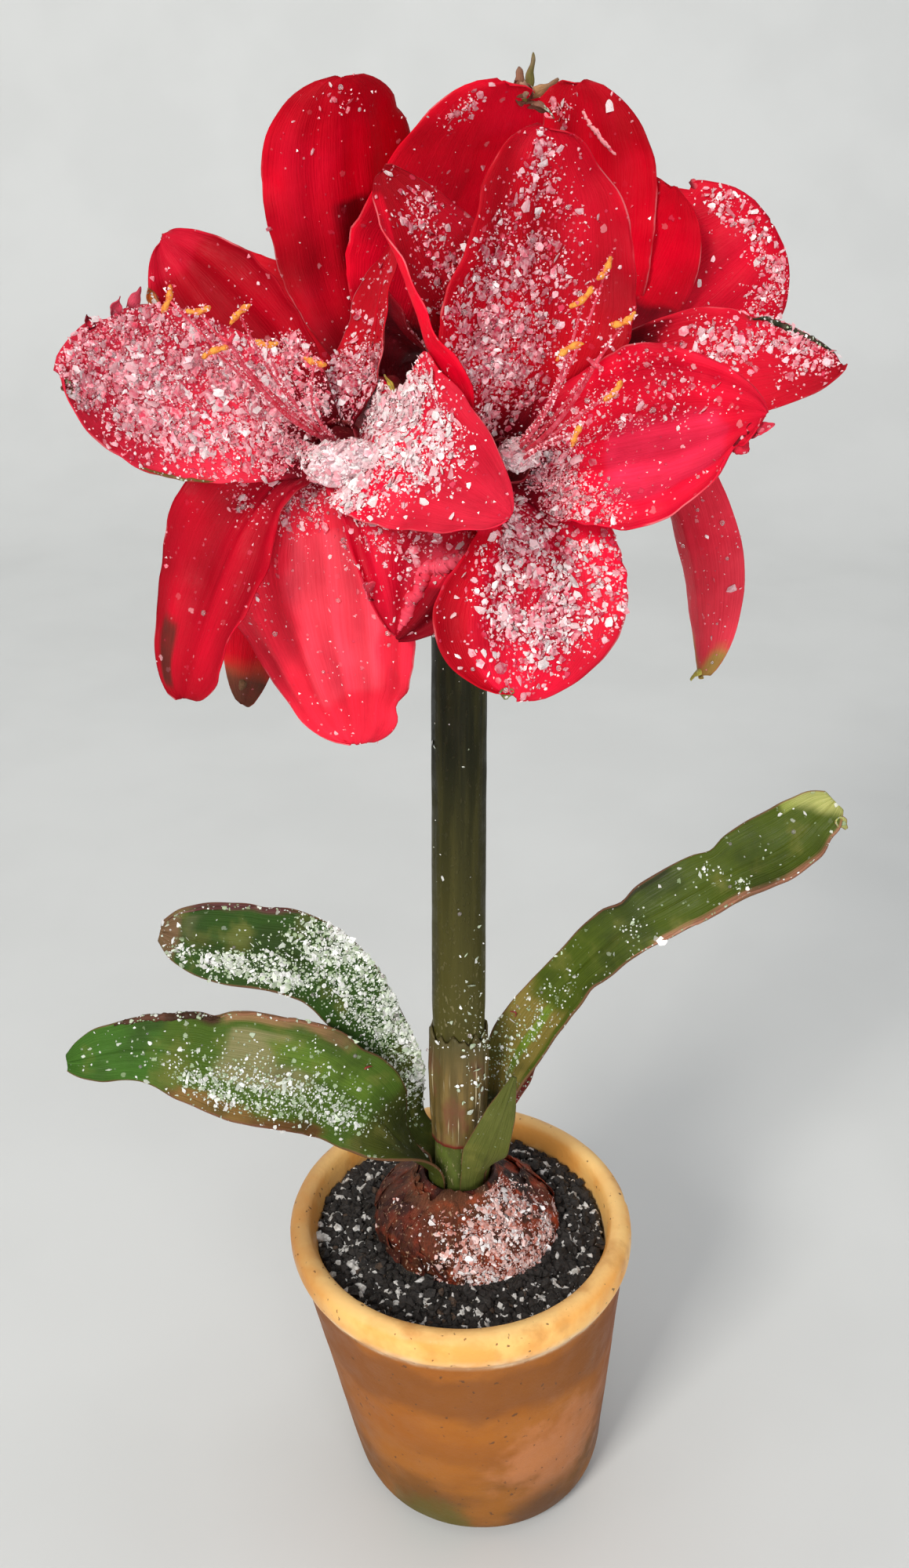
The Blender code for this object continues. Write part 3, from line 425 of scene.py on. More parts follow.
# Colours of flakes, which take on some of what they lie on, each with the share of flakes that have it.
PALETTES = {
    "bloom": (
        (0.26, (236, 70, 98)), (0.32, (250, 132, 150)), (0.26, (255, 190, 198)), (0.16, (255, 236, 236)),
    ),
    # Darker flakes for tepals that lie in shade: a painted shade.
    "bloom_in_shade": (
        (0.34, (206, 56, 84)), (0.32, (226, 112, 130)), (0.22, (242, 180, 188)), (0.12, (255, 236, 236)),
    ),
    "frost": (
        (0.20, (226, 72, 100)), (0.24, (248, 150, 164)), (0.30, (255, 212, 214)), (0.26, (255, 242, 240)),
    ),
    "leaf": ((0.24, (186, 204, 168)), (0.34, (222, 232, 212)), (0.42, (252, 254, 248))),
    "bulb": ((0.35, (214, 132, 112)), (0.35, (240, 196, 186)), (0.30, (255, 248, 246))),
    "pile": ((0.25, (250, 162, 174)), (0.40, (255, 214, 218)), (0.35, (255, 246, 244))),
}
# Sheets whose flakes have other colours than "bloom" on the blooms and "leaf" below them.
PALETTE_OF = {
    "bulb": "bulb", "left_3": "pile", "heap_0": "pile", "heap_1": "pile", "front_4": "frost",
    "front_0": "bloom_in_shade", "front_1": "bloom_in_shade", "left_2": "bloom_in_shade",
}
FLAKE_AREA = 0.62e-6
# Kinds of flakes: how many of them a flake's area of full cover has, and how much they keep to clumps.
KINDS = {"clear": (0.66, 0.9), "white": (0.36, 1.0), "grit": (3.2, 1.0), "bead": (0.030, 1.0)}
# How many more flakes than elsewhere a sheet has, and the sheets with other shares of the kinds.
DENSE = {"leaf_upper_left": 2.1, "front_4": 0.85, "left_0": 1.1}
EVEN = {"clear": 1.0, "white": 1.0, "grit": 1.0, "bead": 1.0}
FINE = {"clear": 0.35, "white": 0.35, "grit": 1.3, "bead": 5.0}
CHIPPED = {"clear": 0.8, "white": 1.2, "grit": 0.45, "bead": 2.0}
BLENDS = {"front_3": FINE, "left_4": FINE, "left_5": FINE, "back_right_3": FINE, "front_4": CHIPPED}
LOW_GRIT = 0.6
# Blades whose flakes cling to the outer side, which is the one that faces the front.
OUTWARD = ("back_left_0", "back_left_1", "back_right_0", "back_right_1", "back_right_2", "back_right_3")
# Heaps of flakes in the throats: centre and radii.
HEAPS = (
    ((-0.0255, -0.0475, 0.3855), (0.0115, 0.0065, 0.0058)),
    ((0.0130, -0.0510, 0.3885), (0.0042, 0.0042, 0.0036)),
)

# Small flaps and tips: the blade they grow from, place on it along and across, way, length and width in
# millimetres, curl, colour.
SCRAPS = (
    ("red", "front_3", 0.965, 0.45, (1.00, -0.25, 0.35), 6.0, 4.6, 0.35, (246, 66, 92)),
    ("red", "front_3", 0.94, 0.80, (0.70, -0.30, -0.5), 3.6, 5.0, -0.5, (238, 50, 76)),
    ("red", "front_5", 0.90, 0.84, (-0.45, -0.60, 0.6), 6.4, 6.0, 0.9, (238, 96, 116)),
    ("red", "back_right_2", 0.88, 0.97, (0.90, 0.10, 0.3), 3.0, 4.8, 0.9, (220, 70, 84)),
    ("dry", "back_left_1", 0.97, -0.60, (0.10, -0.10, 1.0), 6.6, 6.0, 1.4, (142, 92, 70)),
    ("dry", "back_left_1", 0.96, -0.70, (-0.55, -0.20, 0.8), 6.4, 6.6, -1.2, (126, 70, 58)),
    ("dry", "back_left_1", 0.96, -0.80, (0.90, -0.25, 0.35), 8.4, 6.2, 1.0, (198, 150, 104)),
    ("dry", "back_left_1", 0.95, -0.75, (0.75, -0.45, -0.1), 9.0, 5.4, -1.3, (150, 104, 88)),
    ("dry", "back_left_1", 0.96, -0.66, (0.00, -0.60, 0.3), 5.2, 7.0, 1.5, (206, 164, 140)),
    ("dry", "back_left_1", 0.96, -0.70, (0.20, 0.00, 1.0), 11.0, 3.2, 0.3, (134, 132, 66)),
    ("dry", "back_right_3", 0.985, 0.10, (-0.80, -0.20, -0.5), 4.6, 2.6, 1.2, (196, 188, 92)),
    ("dry", "left_3", 0.36, -0.97, (-0.45, -0.20, 1.0), 5.6, 3.2, 0.5, (206, 184, 70)),
    ("red", "left_0", 0.86, 0.97, (0.25, 0.10, 1.0), 5.2, 3.0, 0.9, (196, 70, 90)),
    ("red", "left_0", 0.82, 0.95, (0.60, 0.10, 0.9), 6.4, 3.4, -0.8, (214, 84, 104)),
    ("red", "left_0", 0.92, 0.90, (-0.40, 0.10, 0.9), 3.4, 2.8, 1.1, (120, 40, 52)),
    ("dry", "left_1", 0.83, -0.90, (-0.30, -0.20, 1.0), 6.0, 3.4, 0.9, (222, 116, 40)),
    ("dry", "back_left_3", 0.96, -0.40, (0.30, -0.20, -1.0), 5.0, 6.0, 1.1, (96, 68, 48)),
    ("dry", "left_0", 0.975, -0.30, (-0.90, -0.30, -0.2), 2.4, 4.0, 1.1, (96, 44, 34)),
    ("dry", "front_4", 0.985, 0.30, (-0.10, -0.20, -1.0), 2.6, 4.0, 0.3, (134, 140, 84)),
    ("dry", "leaf_right", 0.985, 0.80, (0.60, -0.20, -0.7), 4.0, 5.0, 1.0, (190, 190, 120)),
    ("dry", "leaf_right", 0.36, -0.70, (0.30, -0.60, 0.5), 3.0, 3.6, 1.0, (190, 60, 76)),
    ("dry", "leaf_lower_left", 0.42, 0.70, (0.20, -0.60, 0.6), 3.0, 3.6, 1.0, (196, 64, 80)),
)
# Raised lines that run over a blade: from and to (along, across), thickness in millimetres, colour.
SEAMS = (
    ("red", "back_right_0", (0.95, 0.02), (0.83, -0.62), 0.85, (255, 196, 192)),
    ("red", "back_right_3", (0.62, 0.66), (0.84, 0.42), 0.40, (240, 140, 140)),
    # The three pink lines on front_5 are raised ridges along its fold, coloured as a painted highlight.
    ("red", "front_5", (0.48, -0.60), (0.63, -0.02), 1.90, (255, 120, 140)),
    ("red", "front_5", (0.57, -0.22), (0.76, 0.14), 2.00, (255, 104, 126)),
    ("red", "front_5", (0.68, 0.08), (0.97, 0.04), 1.80, (252, 88, 112)),
    ("dry", "front_2", (0.80, -0.97), (0.985, -0.80), 0.65, (34, 40, 24)),
    ("dry", "left_0", (0.52, -0.985), (0.78, -0.985), 0.35, (112, 84, 40)),
    ("dry", "leaf_lower_left", (0.72, 0.93), (0.90, 0.93), 1.30, (66, 44, 32)),
    ("dry", "leaf_lower_left", (0.50, 0.96), (0.73, 0.95), 0.60, (150, 104, 76)),
    ("dry", "leaf_upper_left", (0.74, 0.97), (0.99, 0.80), 0.55, (88, 52, 50)),
    ("dry", "leaf_right", (0.56, 0.96), (0.96, 0.96), 0.45, (164, 112, 88)),
)
# Crumbs on the soil: colours of most of them, of patches and of specks; how many; smallest and largest.
CRUMBS = (
    ("crumbs_dark", ((38, 33, 30), (24, 21, 20), (78, 66, 54)), 4000, 0.0006, 0.0025),
    ("crumbs_brown", ((76, 58, 44), (50, 38, 30), (120, 98, 76)), 500, 0.0005, 0.0018),
    ("crumbs_pale", ((226, 224, 220), (180, 176, 170), (250, 250, 250)), 2700, 0.0003, 0.0020),
)


def mm(values):
    return tuple(value / 1000 for value in values)


BLOOMS = [
    Bloom(name, Vector(mm(throat)), Vector(axis).normalized(), [mm(end) for end in anthers])
    for name, throat, axis, anthers in BLOOM_ROWS
]


def linear(colour):
    """The shader's colour for a screen colour, which goes above 1; others are linear already."""
    if max(colour) <= 1:
        return colour
    return tuple(((c / 255 + 0.055) / 1.055) ** 2.4 if c > 10 else c / 255 / 12.92 for c in colour)


def ease(x):
    x = np.clip(x, 0.0, 1.0)
    return x * x * (3 - 2 * x)


def smooth(x):
    x = min(1.0, max(0.0, x))
    return x * x * (3 - 2 * x)


def unit(vectors):
    return vectors / np.maximum(np.linalg.norm(vectors, axis=-1, keepdims=True), 1e-12)


def noise_at(points, scale, seed=0.0):
    """Soft noise, about -1 to 1, at each point of an array whose last axis is x, y, z."""
    flat = points.reshape(-1, 3) * scale + seed
    return np.array([noise.noise(row) for row in flat]).reshape(points.shape[:-1])


def noise_along(values, scale, second, third):
    return np.array([noise.noise((value * scale, second, third)) for value in values])


class Look:
    """A material whose colour is built up in coats, with short ways to add nodes to it."""

    def __init__(self, name, constants=(), colour=None):
        self.material = bpy.data.materials.new(name)
        self.material.use_nodes = True
        self.tree = self.material.node_tree
        self.shader = self.tree.nodes["Principled BSDF"]
        self.colour = colour
        for key, value in dict(constants).items():
            self.feed(self.shader.inputs[key], value)
        self.spot = self.add("TexCoord").outputs["Object"]

    def feed(self, socket, value):
        if isinstance(value, bpy.types.NodeSocket):
            self.tree.links.new(value, socket)
        elif socket.type == "RGBA":
            socket.default_value = (*linear(value), 1)
        else:
            socket.default_value = value

    def add(self, kind, inputs=(), **settings):
        node = self.tree.nodes.new("ShaderNode" + kind)
        for key, value in settings.items():
            setattr(node, key, value)
        for key, value in dict(inputs).items():
            self.feed(node.inputs[key], value)
        return node

    def noise(self, scale, detail=3.0, stretch=None, where=None):
        where = where or self.spot
        if stretch:
            where = self.add("VectorMath", {0: where, 1: stretch}, operation="MULTIPLY").outputs[0]
        return self.add("TexNoise", {"Vector": where, "Scale": scale, "Detail": detail}).outputs["Fac"]

    def band(self, value, low, high, first=0.0, last=1.0):
        keys = {"Value": value, "From Min": low, "From Max": high, "To Min": first, "To Max": last}
        return self.add("MapRange", keys, interpolation_type="SMOOTHSTEP").outputs["Result"]

    def patch(self, scale, low, high, first=0.0, last=1.0, detail=3.0, stretch=None):
        """Patches of noise, first where it is under low and last where it is above high."""
        return self.band(self.noise(scale, detail, stretch), low, high, first, last)

    def mix(self, share, first, second, blend="MIX"):
        keys = {0: share, 6: first, 7: second}
        return self.add("Mix", keys, data_type="RGBA", blend_type=blend).outputs[2]

    def coat(self, *steps):
        """Lay colours over each other, each where its mask says."""
        for mask, colour in steps:
            self.colour = self.mix(mask, self.colour, colour)

    def calc(self, operation, first, second=0.0):
        return self.add("Math", {0: first, 1: second}, operation=operation).outputs[0]

    def times(self, first, second):
        return self.calc("MULTIPLY", first, second)

    def plus(self, first, second):
        return self.calc("ADD", first, second)

    def shake(self, scale, size):
        return self.times(self.calc("SUBTRACT", self.noise(scale), 0.5), size)

    def attribute(self, name, output="Fac"):
        return self.add("Attribute", attribute_name=name).outputs[output]

    def parts(self, vector):
        return self.add("SeparateXYZ", {0: vector}).outputs

    def join(self, x, y, z):
        return self.add("CombineXYZ", {0: x, 1: y, 2: z}).outputs[0]

    def blob(self, centre, radius, wobble, amount):
        """Up to amount inside a ragged ball round the centre and 0 outside it."""
        away = self.add("VectorMath", {0: self.spot, 1: centre}, operation="DISTANCE").outputs["Value"]
        rough = self.shake(120, radius * wobble * 2)
        return self.times(self.band(self.plus(away, rough), radius, radius * 0.35), amount)

    def chips(self, frost, scale):
        """Ragged chips, more of them with more frost, and a number that differs from chip to chip."""
        rough = {"Vector": self.spot, "Scale": scale * 1.6, "Detail": 2.0}
        shake = self.add("TexNoise", rough).outputs["Color"]
        moved = {0: shake, 1: (0.8 / scale,) * 3, 2: self.spot}
        where = self.add("VectorMath", moved, operation="MULTIPLY_ADD").outputs[0]
        cells = self.add("TexVoronoi", {"Vector": where, "Scale": scale})
        pick, tone, _ = self.parts(cells.outputs["Color"])
        there = self.band(self.calc("SUBTRACT", frost, pick), -0.03, 0.03)
        return self.times(there, self.band(cells.outputs["Distance"], 0.48, 0.40)), tone

    def snow(self, frost, dark, light):
        """Two sizes of chips whose colours lie between dark and light; gives their height."""
        height = 0.0
        for scale, share in ((560, 0.75), (1250, 1.0)):
            mask, tone = self.chips(self.times(frost, share), scale)
            self.coat((mask, self.mix(self.band(tone, 0.25, 0.95), dark, light)))
            height = self.plus(height, mask)
        return height

    def finish(self, roughness, height=None, depth=0.0):
        if height:
            bump = self.add("Bump", {"Height": height, "Distance": depth})
            self.feed(self.shader.inputs["Normal"], bump.outputs[0])
        self.feed(self.shader.inputs["Base Color"], self.colour)
        self.feed(self.shader.inputs["Roughness"], roughness)
        return self.material


def new_mesh(name, points, faces, soft=True):
    """A mesh of points and of arrays of faces, each array with one number of corners."""
    mesh = bpy.data.meshes.new(name)
    points = np.asarray(points, dtype=np.float32).reshape(-1, 3)
    faces = [np.asarray(group, dtype=np.int32) for group in faces if len(group)]
    loops = np.concatenate([group.ravel() for group in faces])
    sizes = np.concatenate([np.full(len(group), group.shape[1], dtype=np.int32) for group in faces])
    starts = np.concatenate((np.zeros(1, dtype=np.int32), np.cumsum(sizes)[:-1].astype(np.int32)))
    mesh.vertices.add(len(points))
    mesh.vertices.foreach_set("co", points.ravel())
    mesh.loops.add(len(loops))
    mesh.loops.foreach_set("vertex_index", loops)
    mesh.polygons.add(len(sizes))
    mesh.polygons.foreach_set("loop_start", starts)
    mesh.update(calc_edges=True)
    mesh.polygons.foreach_set("use_smooth", np.full(len(sizes), soft))
    mesh.update()
    return mesh


def give(mesh, name, values):
    """Store values, one row a point, as an attribute of the mesh."""
    kinds = {1: ("FLOAT", "value"), 3: ("FLOAT_VECTOR", "vector"), 4: ("FLOAT_COLOR", "color")}
    kind, field = kinds[values.shape[1]]
    layer = mesh.attributes.new(name, kind, "POINT")
    layer.data.foreach_set(field, np.asarray(values, dtype=np.float32).ravel())


def new_object(name, mesh):
    obj = bpy.data.objects.new(name, mesh)
    bpy.context.scene.collection.objects.link(obj)
    return obj


def new_piece(name, mesh, material, node=None):
    piece = new_object(name, mesh)
    mesh.materials.append(material)
    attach(piece, "root")
    if node:
        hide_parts(node)
    return piece


class Parts:
    """Points, faces and point values gathered from several shapes into one mesh."""

    def __init__(self):
        self.points, self.quads, self.tris, self.values = [], [], [], {}
        self.count = 0

    def add(self, points, quads=(), tris=(), **values):
        points = np.asarray(points).reshape(-1, 3)
        for store, group in ((self.quads, quads), (self.tris, tris)):
            if len(group):
                store.append(np.asarray(group) + self.count)
        for key, value in values.items():
            value = np.asarray(value, dtype=float)
            width = 1 if value.ndim == 0 or value.shape == (len(points),) else value.shape[-1]
            value = value.reshape(-1, width) if value.size > width else np.full((len(points), width), value)
            self.values.setdefault(key, []).append(np.broadcast_to(value, (len(points), width)))
        self.points.append(points)
        self.count += len(points)

    def piece(self, name, material, slot, node=None):
        """Make one piece of all that was added."""
        faces = [np.concatenate(store) for store in (self.quads, self.tris) if store]
        mesh = new_mesh(name, np.concatenate(self.points), faces)
        for key, stacks in self.values.items():
            give(mesh, key, np.concatenate(stacks))
        return new_piece(name, mesh, material, node)


def quadratic(a, b, c, t):
    """Point and direction at t on the curve from a to c that leaves a towards b."""
    point = a * (1 - t) ** 2 + b * 2 * t * (1 - t) + c * t * t
    direction = (b - a) * (1 - t) + (c - b) * t
    return point, direction.normalized()


def points_of(a, b, c, shares):
    return [quadratic(a, b, c, t)[0] for t in shares]


def curve_through(points):
    """Close steps along a soft curve through the points, each with its distance from the start."""
    steps = []
    length = 0.0
    last = len(points) - 1
    for start in range(last):
        b, c = points[start], points[start + 1]
        a = points[start - 1] if start > 0 else b * 2 - c
        d = points[start + 2] if start < last - 1 else c * 2 - b
        for index in range(CURVE_STEPS + (start == last - 1)):
            t = index / CURVE_STEPS
            point = b * 2 + (c - a) * t + (a * 2 - b * 5 + c * 4 - d) * t**2 + (b * 3 - a - c * 3 + d) * t**3
            point /= 2
            if steps:
                length += (point - steps[-1][0]).length
            steps.append((point, length))
    return steps


def curve_point(steps, share):
    """Point and direction at a share of the curve's length."""
    distance = share * steps[-1][1]
    index = 1
    while index < len(steps) - 1 and steps[index][1] < distance:
        index += 1
    (first, low), (second, high) = steps[index - 1], steps[index]
    point = first.lerp(second, (distance - low) / (high - low))
    before = steps[max(0, index - 3)][0]
    after = steps[min(len(steps) - 1, index + 2)][0]
    return point, (after - before).normalized()


def leaf_width(leaf, share):
    """The leaf's width at a share of its length, in metres."""
    return float(np.interp(share, *zip(*leaf.widths))) / 1000


def blade_width(t, root, widest, tip, blunt):
    """Share of the full width at t along a tepal; the claw opens sooner than the solid's."""
    if t < widest:
        return root + (1 - root) * math.sin(math.pi / 2 * t / widest) ** 1.1
    end = (t - widest) / (1 - widest)
    pointed = max(0.0, 1 - end**1.7) ** 0.95
    rounded = max(0.0, 1 - end**2.6) ** 0.5
    return tip + (1 - tip) * (pointed + (rounded - pointed) * blunt)


def bent_row(across, half, turn):
    """Sideways and upward reach of a row bent by turn(share of half width), at each place across it."""
    steps = 6
    share = np.abs(across)[:, None] * (np.arange(steps) + 0.5) / steps
    angle = turn(share)
    x = (np.cos(angle).sum(axis=1)) * half * np.abs(across) / steps
    y = (np.sin(angle).sum(axis=1)) * half * np.abs(across) / steps
    return x * np.sign(across), y


def relaxed(rows, passes):
    """The rows, all but the first and the last drawn towards their neighbours in each pass."""
    for _ in range(passes):
        rows[1:-1] = (rows[:-2] + 2 * rows[1:-1] + rows[2:]) / 4
    return rows


def row_points(rib, x, side, y, upper):
    return np.array(rib) + np.outer(x, side) + np.outer(y, upper)


class Sheet:
    """A blade as a grid of points, with the normals of its inner or upper face."""

    def __init__(self, points, along, across):
        self.points, self.along, self.across = points, along, across
        self.find_normals()

    def find_normals(self):
        down = np.gradient(self.points, axis=0)
        side = np.gradient(self.points, axis=1)
        self.normals = unit(np.cross(side, down))
        self.areas = np.linalg.norm(np.cross(side, down), axis=-1)

    def places(self):
        return np.meshgrid(self.along, self.across, indexing="ij")

    def press(self, height):
        """Move each point along its normal."""
        self.points = self.points + self.normals * height[..., None]
        self.find_normals()

    def at(self, row, column):
        """Points and normals at fractional rows and columns."""
        i = np.clip(row.astype(int), 0, self.points.shape[0] - 2)
        j = np.clip(column.astype(int), 0, self.points.shape[1] - 2)
        u, v = (row - i)[:, None], (column - j)[:, None]
        found = []
        for grid in (self.points, self.normals):
            low = grid[i, j] * (1 - v) + grid[i, j + 1] * v
            high = grid[i + 1, j] * (1 - v) + grid[i + 1, j + 1] * v
            found.append(low * (1 - u) + high * u)
        return found[0], unit(found[1])

    def on(self, along, across):
        """Points and normals at places along and across."""
        row = np.interp(along, self.along, np.arange(len(self.along)))
        column = np.interp(across, self.across, np.arange(len(self.across)))
        return self.at(np.atleast_1d(row), np.atleast_1d(column))

    def shell(self, parts, thickness, tint, **values):
        """Add the sheet as a closed body of the thickness, with its places and colours."""
        rows, columns = self.points.shape[0], self.points.shape[1]
        count = rows * columns
        ids = np.arange(count).reshape(rows, columns)
        top = np.stack((ids[:-1, :-1], ids[:-1, 1:], ids[1:, 1:], ids[1:, :-1]), axis=-1).reshape(-1, 4)
        low = top[:, ::-1] + count
        ring = np.concatenate((ids[0, :-1], ids[:-1, -1], ids[-1, :0:-1], ids[:0:-1, 0]))
        ahead = np.roll(ring, -1)
        rim = np.stack((ahead, ring, ring + count, ahead + count), axis=-1)
        offset = self.normals * (thickness / 2)[..., None]
        points = np.concatenate([(self.points + way * offset).reshape(-1, 3) for way in (1, -1)])
        along, across = self.places()
        place = np.stack((along, across, np.zeros_like(along)), axis=-1).reshape(-1, 3)
        back = place + (0, 0, 1)
        colour = np.concatenate((tint, np.ones(tint.shape[:2] + (1,))), axis=-1).reshape(-1, 4)
        extra = {key: np.tile(value.reshape(-1), 2) for key, value in values.items()}
        parts.add(
            points, np.concatenate((top, low, rim)),
            place=np.concatenate((place, back)), tint=np.concatenate((colour, colour)), **extra
        )


def painted(sheet, base, *zones):
    """Colours of a sheet: a base, and zones with ragged edges."""
    along, across = sheet.places()
    ragged = noise_at(sheet.points, 90, 3.1) * 0.06
    colour = np.ones(sheet.points.shape) * np.array(linear(base))
    for first, last, left, right, new in zones:
        share = ease((along + ragged - first) / 0.03) * ease((last - along - ragged) / 0.03)
        share = share * ease((across + ragged * 2 - left) / 0.10) * ease((right - across - ragged * 2) / 0.10)
        colour += (np.array(linear(new)) - colour) * share[..., None]
    return colour


def tepal_sheet(key, tepal, bloom, number):
    """The tepal's sheet, and how high each of its points stands, -1 to 1."""
    rows, columns = FRONT_GRID if bloom.anthers else BACK_GRID
    along = 1 - (1 - np.linspace(0, 1, rows + 1)) ** 1.3
    across = np.linspace(-1, 1, columns + 1)
    across = across * (1 + 0.25 * (1 - np.abs(across)) ** 2)
    hand = np.where(across < 0, -1.0, 1.0)
    width = tepal.width / 1000
    out, off, aside = mm(tepal.elbow)
    tip = bloom.throat + Vector(mm(tepal.tip))
    axis = bloom.axis
    radial = tip - bloom.throat
    radial = (radial - axis * radial.dot(axis)).normalized()
    claw = bloom.throat + radial * CLAW_RADIUS - axis * 0.004
    elbow = claw + axis * out + radial * off + radial.cross(axis) * aside
    grid = np.zeros((rows + 1, columns + 1, 3))
    for row, share in enumerate(along):
        share = float(share)
        rib, tangent = quadratic(claw, elbow, tip, share)
        side = radial.cross(axis)
        side = (side - tangent * side.dot(tangent)).normalized()
        side.rotate(Matrix.Rotation(math.radians(tepal.roll) * smooth(share), 3, tangent))
        half = width / 2 * blade_width(share, CLAWS.get(key, CLAW_SHARE), tepal.widest, 0.05, tepal.blunt)
        fade = smooth(share * 2.5) * smooth((1 - share) * 4)
        cup = math.radians(tepal.cup) * (1.9 - 1.1 * share)
        reach = np.ones(columns + 1)
        for notch_hand, where, depth, length, power in NOTCHES.get(key, ()):
            near = math.exp(-(((share - where) / length) ** 2))
            reach -= np.where(hand == notch_hand, depth * near, 0) * np.abs(across) ** (power - 1)
        reach *= 1 + 0.018 * noise.noise((share * 22, width * 900, 0)) * np.abs(across)
        x = np.zeros(columns + 1)
        y = np.zeros(columns + 1)
        for sign, degrees in zip((-1, 1), tepal.curl):
            chosen = hand == sign
            curl = math.radians(degrees) * fade
            x[chosen], y[chosen] = bent_row(
                across[chosen] * reach[chosen], half, lambda v: cup * v + curl * ease((v - 0.45) / 0.45)
            )
        wave = np.sin(share * 11 + hand * 1.3 + width * 900)
        y += tepal.ruffle / 1000 * wave * across * across * smooth(share * 2)
        grid[row] = row_points(rib, x, side, y, side.cross(tangent))
        grid[row] += np.array(SHIFTS.get(key, (0.0, 0.0, 0.0))) * smooth(share * 2)
    sheet = Sheet(grid, along, across)
    a, c = sheet.places()
    grown = ease(a * 3)
    fine = np.sin(a * 47 + c * 3 + width * 700) * 0.5 + noise_at(grid, 150, number) * 1.2
    height = 0.00055 * fine * np.abs(c) ** 4 * grown * ease((1.04 - a) * 8)
    for size, scale, seed in ((0.0008, 70, 1.7), (0.0016, 36, 3.1), (0.00022, 260, 2.3)):
        height += size * noise_at(grid, scale, number * seed) * grown
    height -= 0.0006 * np.exp(-((c / 0.05) ** 2)) * ease(a * 4) * ease((1 - a) * 3)
    if key in PLEATS:
        folds, size = PLEATS[key]
        height += size / 1000 * np.cos(c * math.pi * folds + a * 2) * ease(a * 2) * ease((1.05 - a) * 4)
    sheet.press(height)
    return sheet, np.clip(height / 0.0016, -1, 1)


def leaf_sheet(leaf):
    """The sheet of a leaf, which is rooted in the bulb's neck, or of a bract, which hangs free."""
    rooted = leaf.slot != "bract_brown"
    along = 1 - (1 - np.linspace(0, 1, leaf.rows + 1)) ** 1.15
    across = np.linspace(-1, 1, LEAF_COLUMNS + 1)
    hand = np.where(across < 0, -1.0, 1.0)
    points = [Vector(mm(point)) for point in leaf.path]
    neck = 0.0
    if rooted:
        angle = math.radians(leaf.angle)
        outward = Vector((math.cos(angle), math.sin(angle), 0))
        foot = NECK_CENTRE + outward * LEAF_ROOT_RADIUS
        low = foot + Vector((0, 0, LEAF_ROOT))
        high = foot + Vector((0, 0, NECK_TOP))
        points = [low, high, high + outward * NECK_LIP.x + Vector((0, 0, NECK_LIP.z))] + points
    steps = curve_through(points)
    if rooted:
        neck = (NECK_TOP - LEAF_ROOT) / steps[-1][1]
    grid = np.zeros((leaf.rows + 1, LEAF_COLUMNS + 1, 3))
    for row, share in enumerate(along):
        share = float(share)
        rib, tangent = curve_point(steps, share)
        blade = Vector(leaf.face).normalized()
        half = leaf_width(leaf, share) / 2
        free, root_bend = 1.0, 0.0
        if rooted:
            free = smooth((share - neck) / 0.35)
            root_bend = half / LEAF_ROOT_RADIUS
            side = tangent.cross((-outward).lerp(blade, free)).normalized()
        else:
            side = (blade - tangent * blade.dot(tangent)).normalized()
        bend = root_bend * (1 - free) + math.radians(leaf.fold) * free
        reach = across * (1 + 0.03 * noise.noise((share * 25, leaf.angle, 0)) * free)
        for notch_hand, where, depth, length in LEAF_NOTCHES.get(leaf.name, ()):
            kept = 1 - depth * math.exp(-(((share - where) / length) ** 2))
            reach = np.where(hand == notch_hand, reach * kept, reach)
        x, y = bent_row(reach, half, lambda v: bend * v)
        wave = np.sin(share * 17 + hand * 1.1 + leaf.angle)
        y += leaf.edge / 1000 * wave * across * across * free
        grid[row] = row_points(rib, x, side, y, side.cross(tangent))
    sheet = Sheet(relaxed(grid, 3), along, across)
    a, c = sheet.places()
    height = 0.0005 * noise_at(grid, 90, leaf.angle * 0.1)
    height += 0.0005 * np.abs(c) ** 4 * noise_at(grid, 190, 5)
    height -= 0.0005 * np.exp(-((c / 0.08) ** 2))
    sheet.press(height * ease((a - neck) * 5))
    return sheet


def turned_grid(radii, heights, angle):
    """Points of a surface turned round Z: a row for each radius and height, a column for each angle."""
    rise = np.repeat(np.asarray(heights)[:, None], len(angle), axis=1)
    return np.stack((np.outer(radii, np.cos(angle)), np.outer(radii, np.sin(angle)), rise), axis=-1)


def lathe(profile, sides, closed=True):
    """Points of a profile of (radius, height) turned round Z, and its faces, outward down the side."""
    profile = np.asarray(profile)
    angle = np.linspace(0, 2 * math.pi, sides, endpoint=False)
    points = turned_grid(profile[:, 0], profile[:, 1], angle)
    ids = np.arange(len(profile) * sides).reshape(len(profile), sides)
    ahead = np.roll(ids, -1, axis=1)
    quads = np.stack((ids[:-1], ids[1:], ahead[1:], ahead[:-1]), axis=-1).reshape(-1, 4)
    points = points.reshape(-1, 3)
    if not closed:
        return points, quads, ()
    tris = []
    for height, first, second in ((profile[0, 1], ids[0], ahead[0]), (profile[-1, 1], ahead[-1], ids[-1])):
        points = np.concatenate((points, [[0, 0, height]]))
        tris.append(np.stack((np.full(sides, len(points) - 1), first, second), axis=-1))
    return points, quads, np.concatenate(tris)


def angle_of(points):
    return np.arctan2(points[:, 1], points[:, 0])


def softened(profile, step, passes):
    """The profile in steps no longer than step, with its corners rounded."""
    fine = [profile[0]]
    for (r0, z0), (r1, z1) in zip(profile, profile[1:]):
        pieces = max(1, math.ceil(math.hypot(r1 - r0, z1 - z0) / step))
        for index in range(1, pieces + 1):
            fine.append((r0 + (r1 - r0) * index / pieces, z0 + (z1 - z0) * index / pieces))
    return relaxed(np.array(fine), passes)


